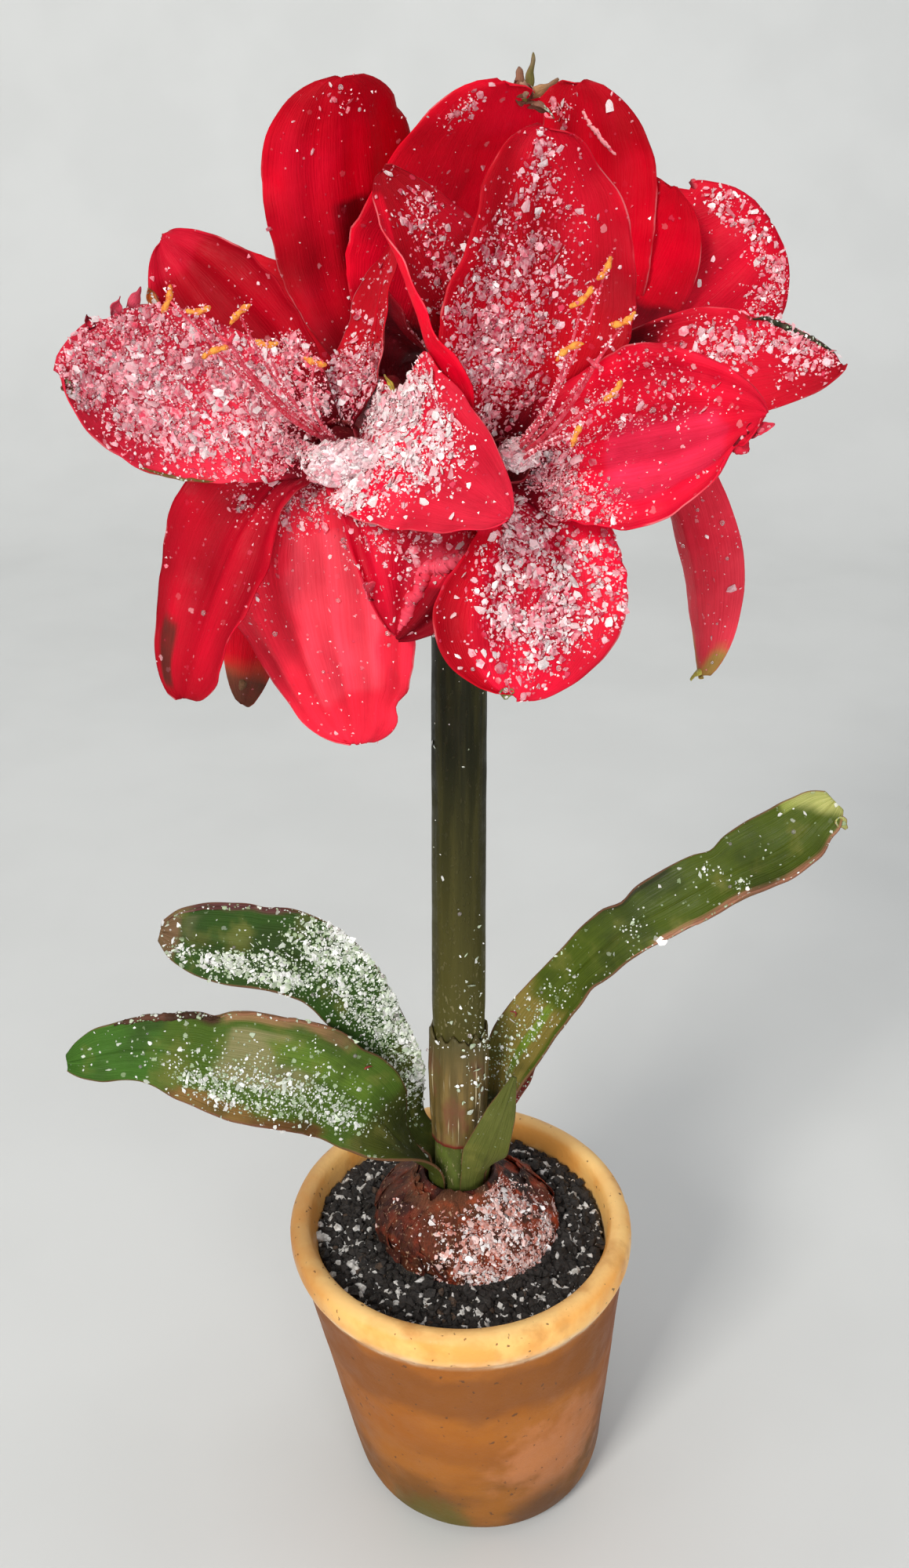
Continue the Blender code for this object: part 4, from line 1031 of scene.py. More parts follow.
def tube(parts, points, radii, sides, **values):
    """Add a round rod through the points, closed at its ends."""
    points = np.array([tuple(point) for point in points])
    way = unit(np.gradient(points, axis=0))
    side = unit(np.cross(way[0], (0.3, 0.2, 0.93)))
    ring = np.linspace(0, 2 * math.pi, sides, endpoint=False)
    rows = []
    for point, direction, radius in zip(points, way, radii):
        side = unit(side - direction * side.dot(direction))
        other = np.cross(direction, side)
        rows.append(point + radius * (np.outer(np.cos(ring), side) + np.outer(np.sin(ring), other)))
    body = np.concatenate(rows + [points[:1], points[-1:]])
    ids = np.arange(len(points) * sides).reshape(len(points), sides)
    ahead = np.roll(ids, -1, axis=1)
    quads = np.stack((ids[:-1], ahead[:-1], ahead[1:], ids[1:]), axis=-1).reshape(-1, 4)
    start, end = np.full(sides, len(body) - 2), np.full(sides, len(body) - 1)
    tris = np.concatenate((
        np.stack((start, ahead[0], ids[0]), axis=-1), np.stack((end, ids[-1], ahead[-1]), axis=-1),
    ))
    parts.add(body, quads, tris, **values)


def ball(subdivisions):
    work = bmesh.new()
    bmesh.ops.create_icosphere(work, subdivisions=subdivisions, radius=1.0)
    points = np.array([tuple(v.co) for v in work.verts])
    tris = np.array([[v.index for v in f.verts] for f in work.faces])
    work.free()
    return points, tris


def shard(corners):
    """A flat many-sided crystal that comes to a low point on each face."""
    angle = np.linspace(0, 2 * math.pi, corners, endpoint=False)
    ring = np.stack((np.cos(angle), np.sin(angle), np.zeros(corners)), axis=-1)
    points = np.concatenate((ring, ((0.2, 0.1, 1.0), (-0.1, 0.2, -1.0))))
    ids = np.arange(corners)
    ahead = np.roll(ids, -1)
    high = np.stack((ids, ahead, np.full(corners, corners)), axis=-1)
    low = np.stack((ahead, ids, np.full(corners, corners + 1)), axis=-1)
    return points, np.concatenate((high, low))


def splinter():
    """A small four-sided grain."""
    points = np.array(((1, 0, -0.4), (-0.5, 0.87, -0.4), (-0.5, -0.87, -0.4), (0, 0, 1.0)))
    return points, np.array(((0, 1, 3), (1, 2, 3), (2, 0, 3), (0, 2, 1)))


def strewn(name, shape, places, normals, sizes, jitter, tilt, soft=False, tints=None):
    """Copies of a small shape, each turned, squeezed and with its corners pushed about at random."""
    points, tris = shape
    count, corners = len(places), len(points)
    up = unit(normals + rng.normal(0, tilt, (count, 3)))
    side = unit(np.cross(up, rng.normal(0, 1, (count, 3))))
    other = np.cross(up, side)
    body = points[None] * sizes[:, None, :]
    body = body * (1 + rng.uniform(-jitter, jitter, (count, corners, 1)))
    world = body[..., :1] * side[:, None] + body[..., 1:2] * other[:, None] + body[..., 2:] * up[:, None]
    world = world + places[:, None]
    faces = tris[None] + (np.arange(count) * corners)[:, None, None]
    mesh = new_mesh(name, world.reshape(-1, 3), [faces.reshape(-1, 3)], soft)
    if tints is not None:
        colours = np.repeat(tints, corners, axis=0)
        give(mesh, "tint", np.concatenate((colours, np.ones((count * corners, 1))), axis=1))
    return mesh


def blade_look(name, shine, length, scale, darker):
    """A look that follows a blade: its veins, its place across, its frost, and streaks for more veins."""
    look = Look(name, {SHINE: shine})
    along, across, underside = look.parts(look.attribute("place", "Vector"))
    wide = look.attribute("wide")
    streaks = look.join(look.times(along, length), wide, wide)
    veins = look.noise(scale, 2.0, (1.0, 1.0, 0.0), streaks)
    low, high, shade = darker
    look.colour = look.mix(look.band(veins, low, high), look.attribute("tint", "Color"), shade, "MULTIPLY")
    frost = look.times(look.attribute("frost"), look.calc("SUBTRACT", 1.0, underside))
    return look, along, look.calc("ABSOLUTE", across), veins, frost, streaks


def petal_look():
    look, along, across, veins, frost, streaks = blade_look(
        "petal_red", 0.10, 3.0, 2.1, (0.40, 0.62, (0.93, 0.82, 0.84))
    )
    fine = look.noise(6.0, 1.0, (1.0, 1.0, 0.0), streaks)
    look.coat((look.times(look.patch(85, 0.36, 0.68, detail=4), 0.22), (0.40, 0.0, 0.010)))
    darker = look.mix(1.0, look.colour, (0.72, 0.45, 0.55), "MULTIPLY")
    look.colour = look.mix(look.patch(26, 0.30, 0.62), darker, look.colour)
    edge = look.plus(across, look.times(look.noise(500), 0.02))
    look.coat(
        (look.times(look.patch(44, 0.50, 0.72), 0.25), (0.86, 0.006, 0.040)),
        (look.times(look.band(edge, 0.99, 1.005), look.patch(60, 0.48, 0.62, 0, 0.6, 2)), (0.76, 0.20, 0.22)),
        # Darker towards the throat: a painted shade in the bloom's depth.
        (look.times(look.band(along, 0.42, 0.06), 0.92), (84, 0, 12)),
    )
    dust = look.snow(look.times(frost, 0.80), (214, 62, 88), (250, 190, 196))
    ripples = look.plus(veins, look.times(look.noise(330), 0.8))
    height = look.plus(look.plus(ripples, look.times(fine, 0.4)), look.times(dust, 1.5))
    return look.finish(look.patch(210, 0.3, 0.7, 0.40, 0.58), height, 0.00020)


def leaf_look(name, shine, faded, shaded):
    look, _, across, veins, frost, _ = blade_look(name, shine, 2.0, 3.2, (0.38, 0.64, (0.80, 0.84, 0.74)))
    look.coat(
        (look.times(look.patch(85, 0.52, 0.70, detail=5), 0.40), faded),
        (look.times(look.patch(48, 0.46, 0.66, detail=5), 0.60), shaded),
    )
    dust = look.snow(look.times(frost, 0.85), (160, 178, 138), (246, 248, 242))
    edge = look.plus(across, look.times(look.noise(300), 0.05))
    look.coat((look.band(edge, 0.98, 1.02, 0.0, 0.7), (120, 76, 58)))
    height = look.plus(look.plus(veins, look.times(look.noise(900), 0.4)), dust)
    return look.finish(look.patch(150, 0.3, 0.7, 0.34, 0.62), height, 0.0003)


def speckled_look(name, colours, scale, rough=(0.5, 0.8), height=0.0002):
    """A rough natural surface of three colours: most of it, its patches and its specks."""
    base, patch, speck = colours
    look = Look(name, colour=base)
    look.coat(
        (look.patch(scale, 0.42, 0.62, detail=5), patch),
        (look.patch(scale * 9, 0.60, 0.68, 0, 0.8), speck),
    )
    return look.finish(look.patch(scale * 2, 0.3, 0.7, *rough), look.noise(scale * 6, 5.0), height)


def make_petals(bloom, material, sheets):
    parts = Parts()
    for number, tepal in enumerate(TEPALS[bloom.name]):
        key = bloom.name + "_" + str(number)
        sheet, relief = tepal_sheet(key, tepal, bloom, number)
        along, across = sheet.places()
        thickness = PETAL_THICKNESS + PETAL_RIB * np.exp(-((across / 0.25) ** 2)) * ease((1 - along) * 2)
        # Darker in the valleys of the folds and lighter on their ridges: a painted shade and highlight.
        tint = painted(sheet, *TINTS.get(key, PLAIN_TEPAL)) * (1 + 0.30 * relief)[..., None]
        wide = across * (tepal.width / 1000) * 500 + number * 37
        sheet.shell(parts, thickness, tint, frost=cover_of(sheet, *FALLS.get(key, DULLED)), wide=wide)
        sheets[key] = sheet
    parts.piece("petals_" + bloom.name, material, "petal_red", "bloom_" + bloom.name)


def anther_ends(bloom):
    if bloom.anthers:
        return [bloom.throat + Vector(end) for end in bloom.anthers]
    across = bloom.axis.orthogonal().normalized()
    ends = []
    for turn in range(6):
        out = across.copy()
        out.rotate(Matrix.Rotation(math.radians(60 * turn), 3, bloom.axis))
        ends.append(bloom.throat + bloom.axis * (ANTHER_REACH + 0.004 * (turn % 2)) + out * ANTHER_SPREAD)
    return ends


def make_heart(bloom, looks, threads):
    """A bloom's tube, filaments, anthers and style. Threads gets places for flakes on them."""

    def dust(points, bias, height):
        places = np.array([tuple(point) for point in points])
        out = unit(rng.normal(0, 1, places.shape) + np.array(bias))
        threads.append((places + out * height, out))

    profile = softened((
        (0.0012, -0.0115), (0.0030, -0.0105), (0.0046, -0.0050), (0.0056, -0.0014), (TUBE_RADIUS, -0.0036),
        (TUBE_RADIUS * 0.85, -TUBE_LENGTH * 0.6), (TUBE_END_RADIUS, -TUBE_LENGTH),
    ), 0.0008, 2)
    points, quads, tris = lathe(profile, 36)
    points[:, :2] *= (1 + 0.03 * np.cos(angle_of(points) * 6))[:, None]
    turn = np.array(bloom.axis.to_track_quat("Z", "Y").to_matrix())
    tube_parts, filaments, anthers = Parts(), Parts(), Parts()
    tube_parts.add(points @ turn.T + np.array(bloom.throat), quads, tris)
    tube_parts.piece("tube_" + bloom.name, looks["tube"], "petal_red")
    ends = anther_ends(bloom)
    middle = sum(ends, Vector()) / len(ends)
    for index, end in enumerate(ends):
        foot = bloom.throat + (end - middle) * 0.15 - bloom.axis * 0.001
        elbow = foot + bloom.axis * (end - foot).length * 0.5
        share = np.linspace(0, 1, 15)
        tube(filaments, points_of(foot, elbow, end, share), FILAMENT_RADIUS - FILAMENT_TAPER * share, 8)
        if bloom.anthers:
            shares = rng.uniform(0.02, 1.0, THREAD_FLAKES)
            dust(points_of(foot, elbow, end, shares), (0, -0.3, 0.6), 0.0004)
        lie = ((end - bloom.throat).normalized() + Vector((0, 0, 0.5))).normalized()
        if bloom.name in LIES:
            lie = Vector(LIES[bloom.name][index]).normalized()
        side = lie.orthogonal().normalized()
        share = np.linspace(-1, 1, ANTHER_STEPS)
        reach = ANTHER_HALF_LENGTH * rng.uniform(0.7, 1.05)
        bow = rng.uniform(0.0003, 0.0012) * (1 if index % 2 else -1)
        line = [end + lie * reach * t + side * bow * t * t for t in share]
        radii = ANTHER_RADIUS * np.maximum(0.12, 1 - share**4) ** 0.5
        radii = radii * (1 - 0.12 * np.exp(-((share / 0.12) ** 2)))
        tube(anthers, line, radii * (1 + 0.22 * np.sin(share * 7 + index * 2)), 12)
        if bloom.anthers:
            steps = rng.integers(0, ANTHER_STEPS, ANTHER_FLAKES)
            dust([line[step] for step in steps], (0, -0.5, 0.5), 0.0008)
    tip = bloom.throat + (middle - bloom.throat).normalized() * STYLE_REACH - STYLE_DROP
    elbow = bloom.throat + bloom.axis * STYLE_REACH * 0.5 - STYLE_DROP
    share = np.linspace(0, 1, 19)
    line = points_of(bloom.throat - bloom.axis * 0.001, elbow, tip, share)
    tube(filaments, line, STYLE_RADIUS - STYLE_TAPER * share, 8)
    end, way = np.array(tip), unit(np.array(tip - elbow))
    out = unit(np.cross(way, (0.2, 0.1, 0.9)))
    share = np.linspace(0, 1, 8)[:, None]
    for turn in range(3):
        angle = turn * 2 * math.pi / 3
        lobe = out * math.cos(angle) + np.cross(way, out) * math.sin(angle)
        line = end + way * 0.0016 * share + lobe * 0.0020 * share**1.5
        tube(filaments, line, 0.0006 - 0.0002 * share[:, 0], 8)
    filaments.piece("filaments_" + bloom.name, looks["filament"], "petal_red")
    mesh = anthers.piece("anthers_" + bloom.name, looks["anther"], "petal_red").data
    grid = np.array([tuple(v.co) for v in mesh.vertices])
    grid += unit(rng.normal(0, 1, grid.shape)) * 0.00008
    mesh.vertices.foreach_set("co", grid.astype(np.float32).ravel())


def make_blades(looks, sheets):
    for leaf in LEAVES:
        sheet = leaf_sheet(leaf)
        along, across = sheet.places()
        thickness = leaf.thickness / 1000 * (0.35 + 0.65 * (1 - np.abs(across) ** 2.5))
        thickness = thickness * (0.5 + 0.5 * ease((1 - along) * 5))
        tint = painted(sheet, *TINTS.get(leaf.name, PLAIN_BRACT))
        parts = Parts()
        sheet.shell(
            parts, thickness, tint,
            wide=across * leaf_width(leaf, 0.5) * 400, frost=cover_of(sheet, *FALLS.get(leaf.name, DULLED)),
        )
        look = looks["bract" if leaf.slot == "bract_brown" else "leaf"]
        parts.piece("blade_" + leaf.name, look, leaf.slot, leaf.name)
        sheets[leaf.name] = sheet


def pot_points(points):
    """Leaning of the pot's foot, with the slow waves of a hand-thrown wall and chips in its edges."""
    share = np.clip(points[:, 2] / POT_HEIGHT, 0, 1)
    radius = np.maximum(np.hypot(points[:, 0], points[:, 1]), 1e-9)
    wave = 0.00022 * noise_at(points, 28) + 0.00010 * noise_at(points, 120, 4)
    wave += 0.00005 * noise_at(points, 420, 9)
    chip = np.maximum(0, noise_at(points, 170, 21) - 0.42) * 0.0022
    chip *= ease((points[:, 2] - 0.097) / 0.004) + ease((0.006 - points[:, 2]) / 0.003)
    points = points.copy()
    points[:, :2] *= (1 + (wave - chip) / radius)[:, None]
    points[:, 2] -= chip * 0.5 * ease((points[:, 2] - 0.108) / 0.003)
    points[:, 2] = np.maximum(points[:, 2], 0)
    points[:, 0] += FOOT_OFFSET * (1 - share)
    return points


def pot_look():
    look = Look("terracotta", {SHINE: 0.32}, (98, 64, 20))
    across, _, height = look.parts(look.spot)
    # A darker band just under the rim: a painted shade cast by the rim.
    uneven = look.plus(height, look.shake(45, 0.02))
    under_rim_shade = look.times(look.band(uneven, 0.066, 0.074), look.band(uneven, 0.098, 0.092))
    rim = look.band(height, 0.0985, 0.1015)
    chalk = look.times(look.band(height, 0.096, 0.0985), look.band(height, 0.1045, 0.1005))
    chalk = look.times(chalk, look.patch(130, 0.34, 0.66, 0.25, 0.85, 5))
    specks = look.patch(420, 0.68, 0.74, 0, 0.8, 2)
    look.coat(
        (look.band(uneven, 0.006, 0.060), (154, 88, 20)),
        (look.patch(26, 0.42, 0.66, 0, 0.5, 5, (1, 1, 2.0)), (172, 104, 30)),
        (look.patch(70, 0.54, 0.74, 0, 0.35, 6), (136, 78, 26)),
        (look.times(under_rim_shade, 0.7), (122, 70, 24)),
        # The pot's left side is darker: a painted shade.
        (look.band(across, -0.024, -0.056, 0, 0.75), (120, 66, 28)),
        (look.blob((0.0360, -0.0400, 0.040), 0.030, 0.7, 0.55), (196, 126, 80)),
        # A darker red-brown down the right edge: a painted shade.
        (look.band(across, 0.044, 0.060, 0, 0.6), (128, 62, 32)),
        (look.blob((-0.0100, -0.0430, 0.002), 0.022, 0.3, 0.95), (90, 80, 24)),
        (look.blob((0.0300, -0.0380, 0.004), 0.024, 0.3, 0.95), (92, 60, 34)),
        (rim, look.mix(look.patch(50, 0.4, 0.6, detail=4), (242, 170, 84), (252, 196, 114))),
        # A paler line along the rim's top: a painted highlight.
        (look.times(look.band(height, 0.1095, 0.1125), 0.6), (250, 214, 144)),
        # More painted shade on the left side.
        (look.band(across, -0.030, -0.062, 0, 0.6), (140, 88, 40)),
        (look.times(chalk, 0.9), (240, 212, 172)),
        (look.times(rim, look.patch(75, 0.48, 0.70, 0, 0.65, 5)), (200, 136, 66)),
        (specks, (92, 60, 34)),
        (look.times(look.band(height, 0.0046, 0.0010), 0.9), (62, 38, 20)),
    )
    grain = look.plus(look.noise(700, 6.0), look.times(look.noise(160, 4.0), 0.8))
    rough = look.calc("SUBTRACT", look.patch(110, 0.3, 0.7, 0.52, 0.74, 4), look.times(rim, 0.16))
    return look.finish(rough, look.calc("SUBTRACT", grain, specks), 0.00018)


def make_pot():
    outside = softened(POT_OUTSIDE + ((0.0300, 0.0), (0.0120, 0.0)), 0.0014, 2)
    inside = softened(((0.0120, POT_FLOOR),) + POT_INSIDE, 0.0030, 1)
    points, quads, tris = lathe(np.concatenate((inside, outside)), 144)
    mesh = new_mesh("pot_wall", pot_points(points), [quads, tris])
    piece = new_piece("pot_wall", mesh, pot_look(), "pot")
    for turn in range(3):
        angle = math.radians(90 + 120 * turn)
        drain, sides, ends = lathe(((DRAIN_RADIUS, POT_FLOOR + 0.001), (DRAIN_RADIUS, -0.001)), 32)
        drain += (math.cos(angle) * DRAIN_RING + FOOT_OFFSET * 0.95, math.sin(angle) * DRAIN_RING, 0)
        cutter = new_object("drain", new_mesh("drain", drain, [sides, ends], False))
        cut = piece.modifiers.new("Cut", "BOOLEAN")
        cut.operation = "DIFFERENCE"
        cut.solver = "EXACT"
        cut.object = cutter
        bpy.context.view_layer.update()
        graph = bpy.context.evaluated_depsgraph_get()
        whole = bpy.data.meshes.new_from_object(piece.evaluated_get(graph))
        piece.modifiers.clear()
        piece.data = whole
        bpy.data.objects.remove(cutter)


def bulb_points(points):
    """The bulb's middle leans over from its widest part to its neck."""
    share = ease((points[:, 2] - LEAN_START) / (NECK_FLOOR - LEAN_START))[:, None]
    return points + np.array(BULB_CENTRE) * (1 - share) + np.array(NECK_CENTRE) * share


def bulb_radius(height):
    line = sorted((z, r) for r, z in BULB_OUTSIDE)
    return np.interp(height, [z for z, _ in line], [r for _, r in line])


def bulb_look():
    look = Look("bulb_skin", {SHINE: 0.30}, (42, 18, 12))
    x, y, z = look.parts(look.spot)
    turn = look.calc("ARCTAN2", y, x)
    lines = look.join(look.times(turn, 9.0), look.times(z, 60.0), look.attribute("layer"))
    strands = look.noise(3.0, 4.0, (1.0, 1.0, 1.0), lines)
    fine = look.noise(11.0, 3.0, (1.0, 0.6, 1.0), lines)
    look.coat(
        (look.patch(75, 0.38, 0.62, detail=4), (118, 42, 20)),
        (look.band(strands, 0.36, 0.64, 0.45, 0), (64, 26, 17)),
        (look.band(fine, 0.50, 0.66, 0, 0.6), (48, 20, 14)),
        (look.patch(170, 0.46, 0.66, 0, 0.9, 6), (178, 68, 34)),
        # Darker on the left side: a painted shade.
        (look.band(x, 0.004, -0.020, 0, 0.6), (44, 20, 14)),
        (look.times(look.attribute("pale"), 0.4), (140, 88, 52)),
        (look.patch(800, 0.62, 0.70, 0, 0.7, 2), (196, 160, 130)),
    )
    height = look.plus(look.plus(strands, fine), look.times(look.noise(260, 4.0), 2.0))
    return look.finish(look.patch(200, 0.3, 0.7, 0.45, 0.75), height, 0.0009)


def make_bulb():
    """The bulb's body, and the dry skins that overlap round it."""
    look = bulb_look()
    profile = np.concatenate((
        np.array(((NECK_HOLE, NECK_FLOOR), (NECK_HOLE, NECK_TOP - 0.0008))),
        softened(BULB_OUTSIDE, 0.0012, 2), np.array(((0.006, BULB_BOTTOM + 0.0005),)),
    ))
    points, quads, tris = lathe(profile, 96)
    radius = np.hypot(points[:, 0], points[:, 1])
    ribs = 0.00025 * np.sin(angle_of(points) * 23 + noise_at(points, 60) * 3)
    ribs += 0.0003 * noise_at(points, 130, 2)
    ribs *= ease((radius - NECK_HOLE - 0.0006) / 0.004)
    points[:, :2] *= (1 + ribs / np.maximum(radius, 1e-6))[:, None]
    body, skins = Parts(), Parts()
    body.add(bulb_points(points), quads, tris, layer=0.0, pale=0.0)
    body.piece("bulb_body", look, "bulb_skin", "bulb")
    across = np.linspace(0, 1, 35)
    rise = np.linspace(0, 1, 21)
    sides = np.minimum(across, 1 - across)
    for index in range(SKIN_COUNT):
        angle = rng.uniform(0, 2 * math.pi) + rng.uniform(0.9, 2.2) * across
        top = SKIN_TOPS[index % len(SKIN_TOPS)] - rng.uniform(0, 0.0012)
        edge = noise_along(angle, 6, index * 3.0, 0)
        heights = top + 0.0016 * edge - 0.010 * (1 - ease(sides / 0.22)) ** 1.5
        z = SKIN_FOOT + (heights[None] - SKIN_FOOT) * rise[:, None]
        lift = 0.00030 + 0.00016 * (index // 5) + 0.0009 * rise[:, None] ** 6 * (0.4 + np.abs(edge))
        lift = lift + 0.0007 * (1 - ease(sides / 0.10))[None] * rng.uniform(0.2, 1)
        radius = bulb_radius(z) + lift
        radius += 0.00014 * np.sin(angle * 25 + index)[None]
        grid = np.stack((radius * np.cos(angle), radius * np.sin(angle), z), axis=-1)
        grid = bulb_points(grid.reshape(-1, 3)).reshape(grid.shape)
        grid += (0.0010 * noise_at(grid, 230, index) + 0.0009 * noise_at(grid, 100, index))[..., None]
        pale = np.clip(rng.uniform(-0.2, 0.4) + 0.9 * ease((z - 0.1225) / 0.006), 0, 0.9)
        Sheet(grid, rise, across).shell(
            skins, np.full(z.shape, SKIN_THICKNESS), np.ones(grid.shape),
            layer=np.full(z.shape, index * 7.0), pale=pale,
        )
    skins.piece("bulb_skins", look, "bulb_skin")


def soil_height(x, y):
    radius = np.hypot(x - BULB_CENTRE.x, y - BULB_CENTRE.y)
    return SOIL_TOP + SOIL_MOUND * ease(0.9 - (radius - SOIL_INNER) / 0.010)


def make_soil():
    """The soil's own solid keeps its place, and gets a crust of loose crumbs."""
    look = speckled_look("soil", ((40, 35, 31), (24, 21, 20), (130, 118, 100)), 300, (0.8, 0.98), 0.0008)
    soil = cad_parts["soil"]
    soil.data.materials.clear()
    soil.data.materials.append(look)
    inner = bulb_radius(SOIL_TOP + 0.001) + 0.0006
    for name, colours, count, small, large in CRUMBS:
        angle = rng.uniform(0, 2 * math.pi, count)
        share = np.sqrt(rng.uniform(0, 1, count))
        ring = np.stack((np.cos(angle), np.sin(angle)), axis=-1)
        close = ring * inner + np.array(BULB_CENTRE)[:2]
        if name == "crumbs_pale":
            share = share ** 0.7
            # Two draws whose values have no effect; they keep all later draws as they are.
            rng.uniform(0, 1, count)
            rng.normal(-1.35, 0.80, count)
        flat = close + (ring * SOIL_REACH - close) * share[:, None]
        size = small + (large - small) * rng.beta(1.3, 3.0, count)
        z = soil_height(flat[:, 0], flat[:, 1]) + size * rng.uniform(0.0, 0.9, count)
        places = np.concatenate((flat, z[:, None]), axis=1)
        sizes = size[:, None] * rng.uniform(0.7, 1.2, (count, 3))
        crumb = speckled_look(name, colours, 700, (0.45, 0.85), 0.0003)
        mesh = strewn(name, ball(1), places, np.tile((0.0, 0.0, 1.0), (count, 1)), sizes, 0.38, 0.8)
        new_piece(name, mesh, crumb)


def make_stem():
    look = Look("stem_green", {SHINE: 0.14}, (72, 68, 28))
    z = look.parts(look.spot)[2]
    grain = look.noise(420, 3.0, (1.0, 1.0, 0.06))
    fleck = look.patch(1000, 0.60, 0.66, detail=2, stretch=(1, 1, 0.5))
    look.coat(
        # Darker towards the top: a painted shade under the blooms.
        (look.band(z, 0.19, 0.30), (28, 28, 8)),
        (look.band(z, 0.150, 0.142), (96, 110, 48)),
        (look.band(grain, 0.44, 0.70, 0, 0.22), (92, 86, 42)),
        (look.patch(90, 0.5, 0.7, 0, 0.6, 4, (1, 1, 0.4)), (44, 40, 22)),
        (look.times(fleck, look.band(z, 0.24, 0.17, 0.03, 0.5)), (160, 150, 110)),
    )
    height = look.plus(grain, look.times(fleck, 0.5))
    material = look.finish(look.patch(160, 0.3, 0.7, 0.36, 0.6), height, 0.0003)
    profile = ((0.0004, STEM_TOP), (0.0045, STEM_TOP - 0.001), (0.0070, STEM_TOP - 0.005)) + STEM_OUTSIDE
    points, quads, tris = lathe(softened(profile, 0.0016, 2), 56)
    around = angle_of(points)
    ribs = 0.006 * np.sin(around * 12 + points[:, 2] * 20) + 0.012 * noise_at(points, 90)
    ribs += 0.003 * np.sin(around * 29)
    points[:, :2] *= (1 + ribs)[:, None]
    parts = Parts()
    parts.add(points + np.array(NECK_CENTRE), quads, tris)
    for bloom in BLOOMS:
        end = bloom.throat - bloom.axis * (TUBE_LENGTH + GAP)
        low = UMBEL + (end - UMBEL).normalized() * 0.002
        waist = end - bloom.axis * OVARY_LENGTH
        bow = low.lerp(waist, 0.5) + Vector((0, 0, 0.004))
        line = points_of(low, bow, waist, np.linspace(0, 1, STALK_STEPS))
        radii = [PEDICEL_RADIUS] * STALK_STEPS
        for share in np.linspace(0.08, 1, 16):
            line.append(waist + bloom.axis * OVARY_LENGTH * share)
            swell = math.sin(math.pi * min(1, share * 0.86 + 0.08)) ** 0.7
            radii.append(PEDICEL_RADIUS + (OVARY_RADIUS - PEDICEL_RADIUS) * swell)
        tube(parts, line, radii, 30)
    parts.piece("stem_body", material, "stem_green", "stem")


def make_sleeve():
    look = Look("sleeve_brown", {SHINE: 0.35}, (92, 76, 38))
    z = look.parts(look.spot)[2]
    grain = look.noise(520, 4.0, (1.0, 1.0, 0.05))
    scratch = look.patch(900, 0.60, 0.68, detail=2, stretch=(1, 1, 0.03))
    look.coat(
        (look.band(grain, 0.36, 0.66), (120, 98, 52)),
        (look.patch(130, 0.48, 0.68, 0, 0.8, 4, (1, 1, 0.5)), (110, 62, 44)),
        (look.times(scratch, 0.8), (206, 190, 150)),
        (look.band(z, 0.172, 0.192), (78, 70, 34)),
        (look.band(z, 0.1485, 0.1470), (112, 44, 30)),
    )
    material = look.finish(look.patch(200, 0.3, 0.7, 0.45, 0.75), look.plus(grain, scratch), 0.0003)
    inside = softened(SLEEVE_INSIDE, 0.0015, 1)
    outside = softened(SLEEVE_OUTSIDE, 0.0012, 1)
    points, quads, _ = lathe(np.concatenate((inside, outside, inside[:1])), 64, False)
    around = angle_of(points)
    ragged = np.array([noise.noise((math.cos(a) * 3, math.sin(a) * 3, 4)) for a in around])
    ragged += 0.5 * np.array([noise.noise((math.cos(a) * 14, math.sin(a) * 14, 9)) for a in around])
    points[:, 2] += ease((points[:, 2] - 0.165) / 0.026) * (0.0035 * ragged - 0.0022)
    crease = 0.014 * np.sin(around * 17 + noise_at(points, 70) * 2) + 0.02 * noise_at(points, 110)
    points[:, :2] *= (1 + crease)[:, None]
    mesh = new_mesh("sleeve", points + np.array(NECK_CENTRE), [quads])
    new_piece("sleeve", mesh, material, "stem_sleeve")


def cover_of(sheet, base, *patches):
    """How much of a sheet its flakes cover, 0 to 1, at each point of its grid."""
    along, across = sheet.places()
    cover = np.full(along.shape, base)
    for where, side, reach, spread, amount in patches:
        away = ((along - where) / reach) ** 2 + ((across - side) / spread) ** 2
        away = away + 0.45 * noise_at(sheet.points, 110, where * 9)
        cover += amount * np.exp(-1.1 * np.clip(away - 0.35, 0, None) ** 1.2)
    return np.clip(cover, 0, 1)


def fallen(sheet, falls, per_area, clump):
    """Random places on a sheet's upper face, thick in its patches: points, normals and cover at each."""
    bunch = 0.75 + 1.3 * noise_at(sheet.points, 190, 8) + 0.8 * noise_at(sheet.points, 480, 3)
    cover = cover_of(sheet, *falls) * (1 + (np.clip(bunch, 0, 2.0) - 1) * clump)
    cover = np.clip(cover, 0, 1)
    mean = (cover[:-1, :-1] + cover[1:, 1:] + cover[:-1, 1:] + cover[1:, :-1]) / 4
    area = (sheet.areas[:-1, :-1] + sheet.areas[1:, 1:]) / 2
    counts = rng.poisson(mean * area * per_area)
    rows, columns = np.nonzero(counts)
    times = counts[rows, columns]
    rows, columns = np.repeat(rows, times), np.repeat(columns, times)
    u = rows + rng.uniform(0, 1, len(rows))
    v = columns + rng.uniform(0, 1, len(rows))
    points, normals = sheet.at(u, v)
    return points, normals, mean[rows, columns]


def around_sheet(profile, turned_from, turned_to, columns, place):
    """A part of a turned surface as a sheet that faces outward, its rows down the profile."""
    angle = np.radians(np.linspace(turned_to, turned_from, columns + 1))
    profile = np.asarray(profile)
    grid = turned_grid(profile[:, 0], profile[:, 1], angle)
    grid = place(grid.reshape(-1, 3)).reshape(grid.shape)
    return Sheet(grid, np.linspace(0, 1, len(profile)), np.linspace(1, -1, columns + 1))


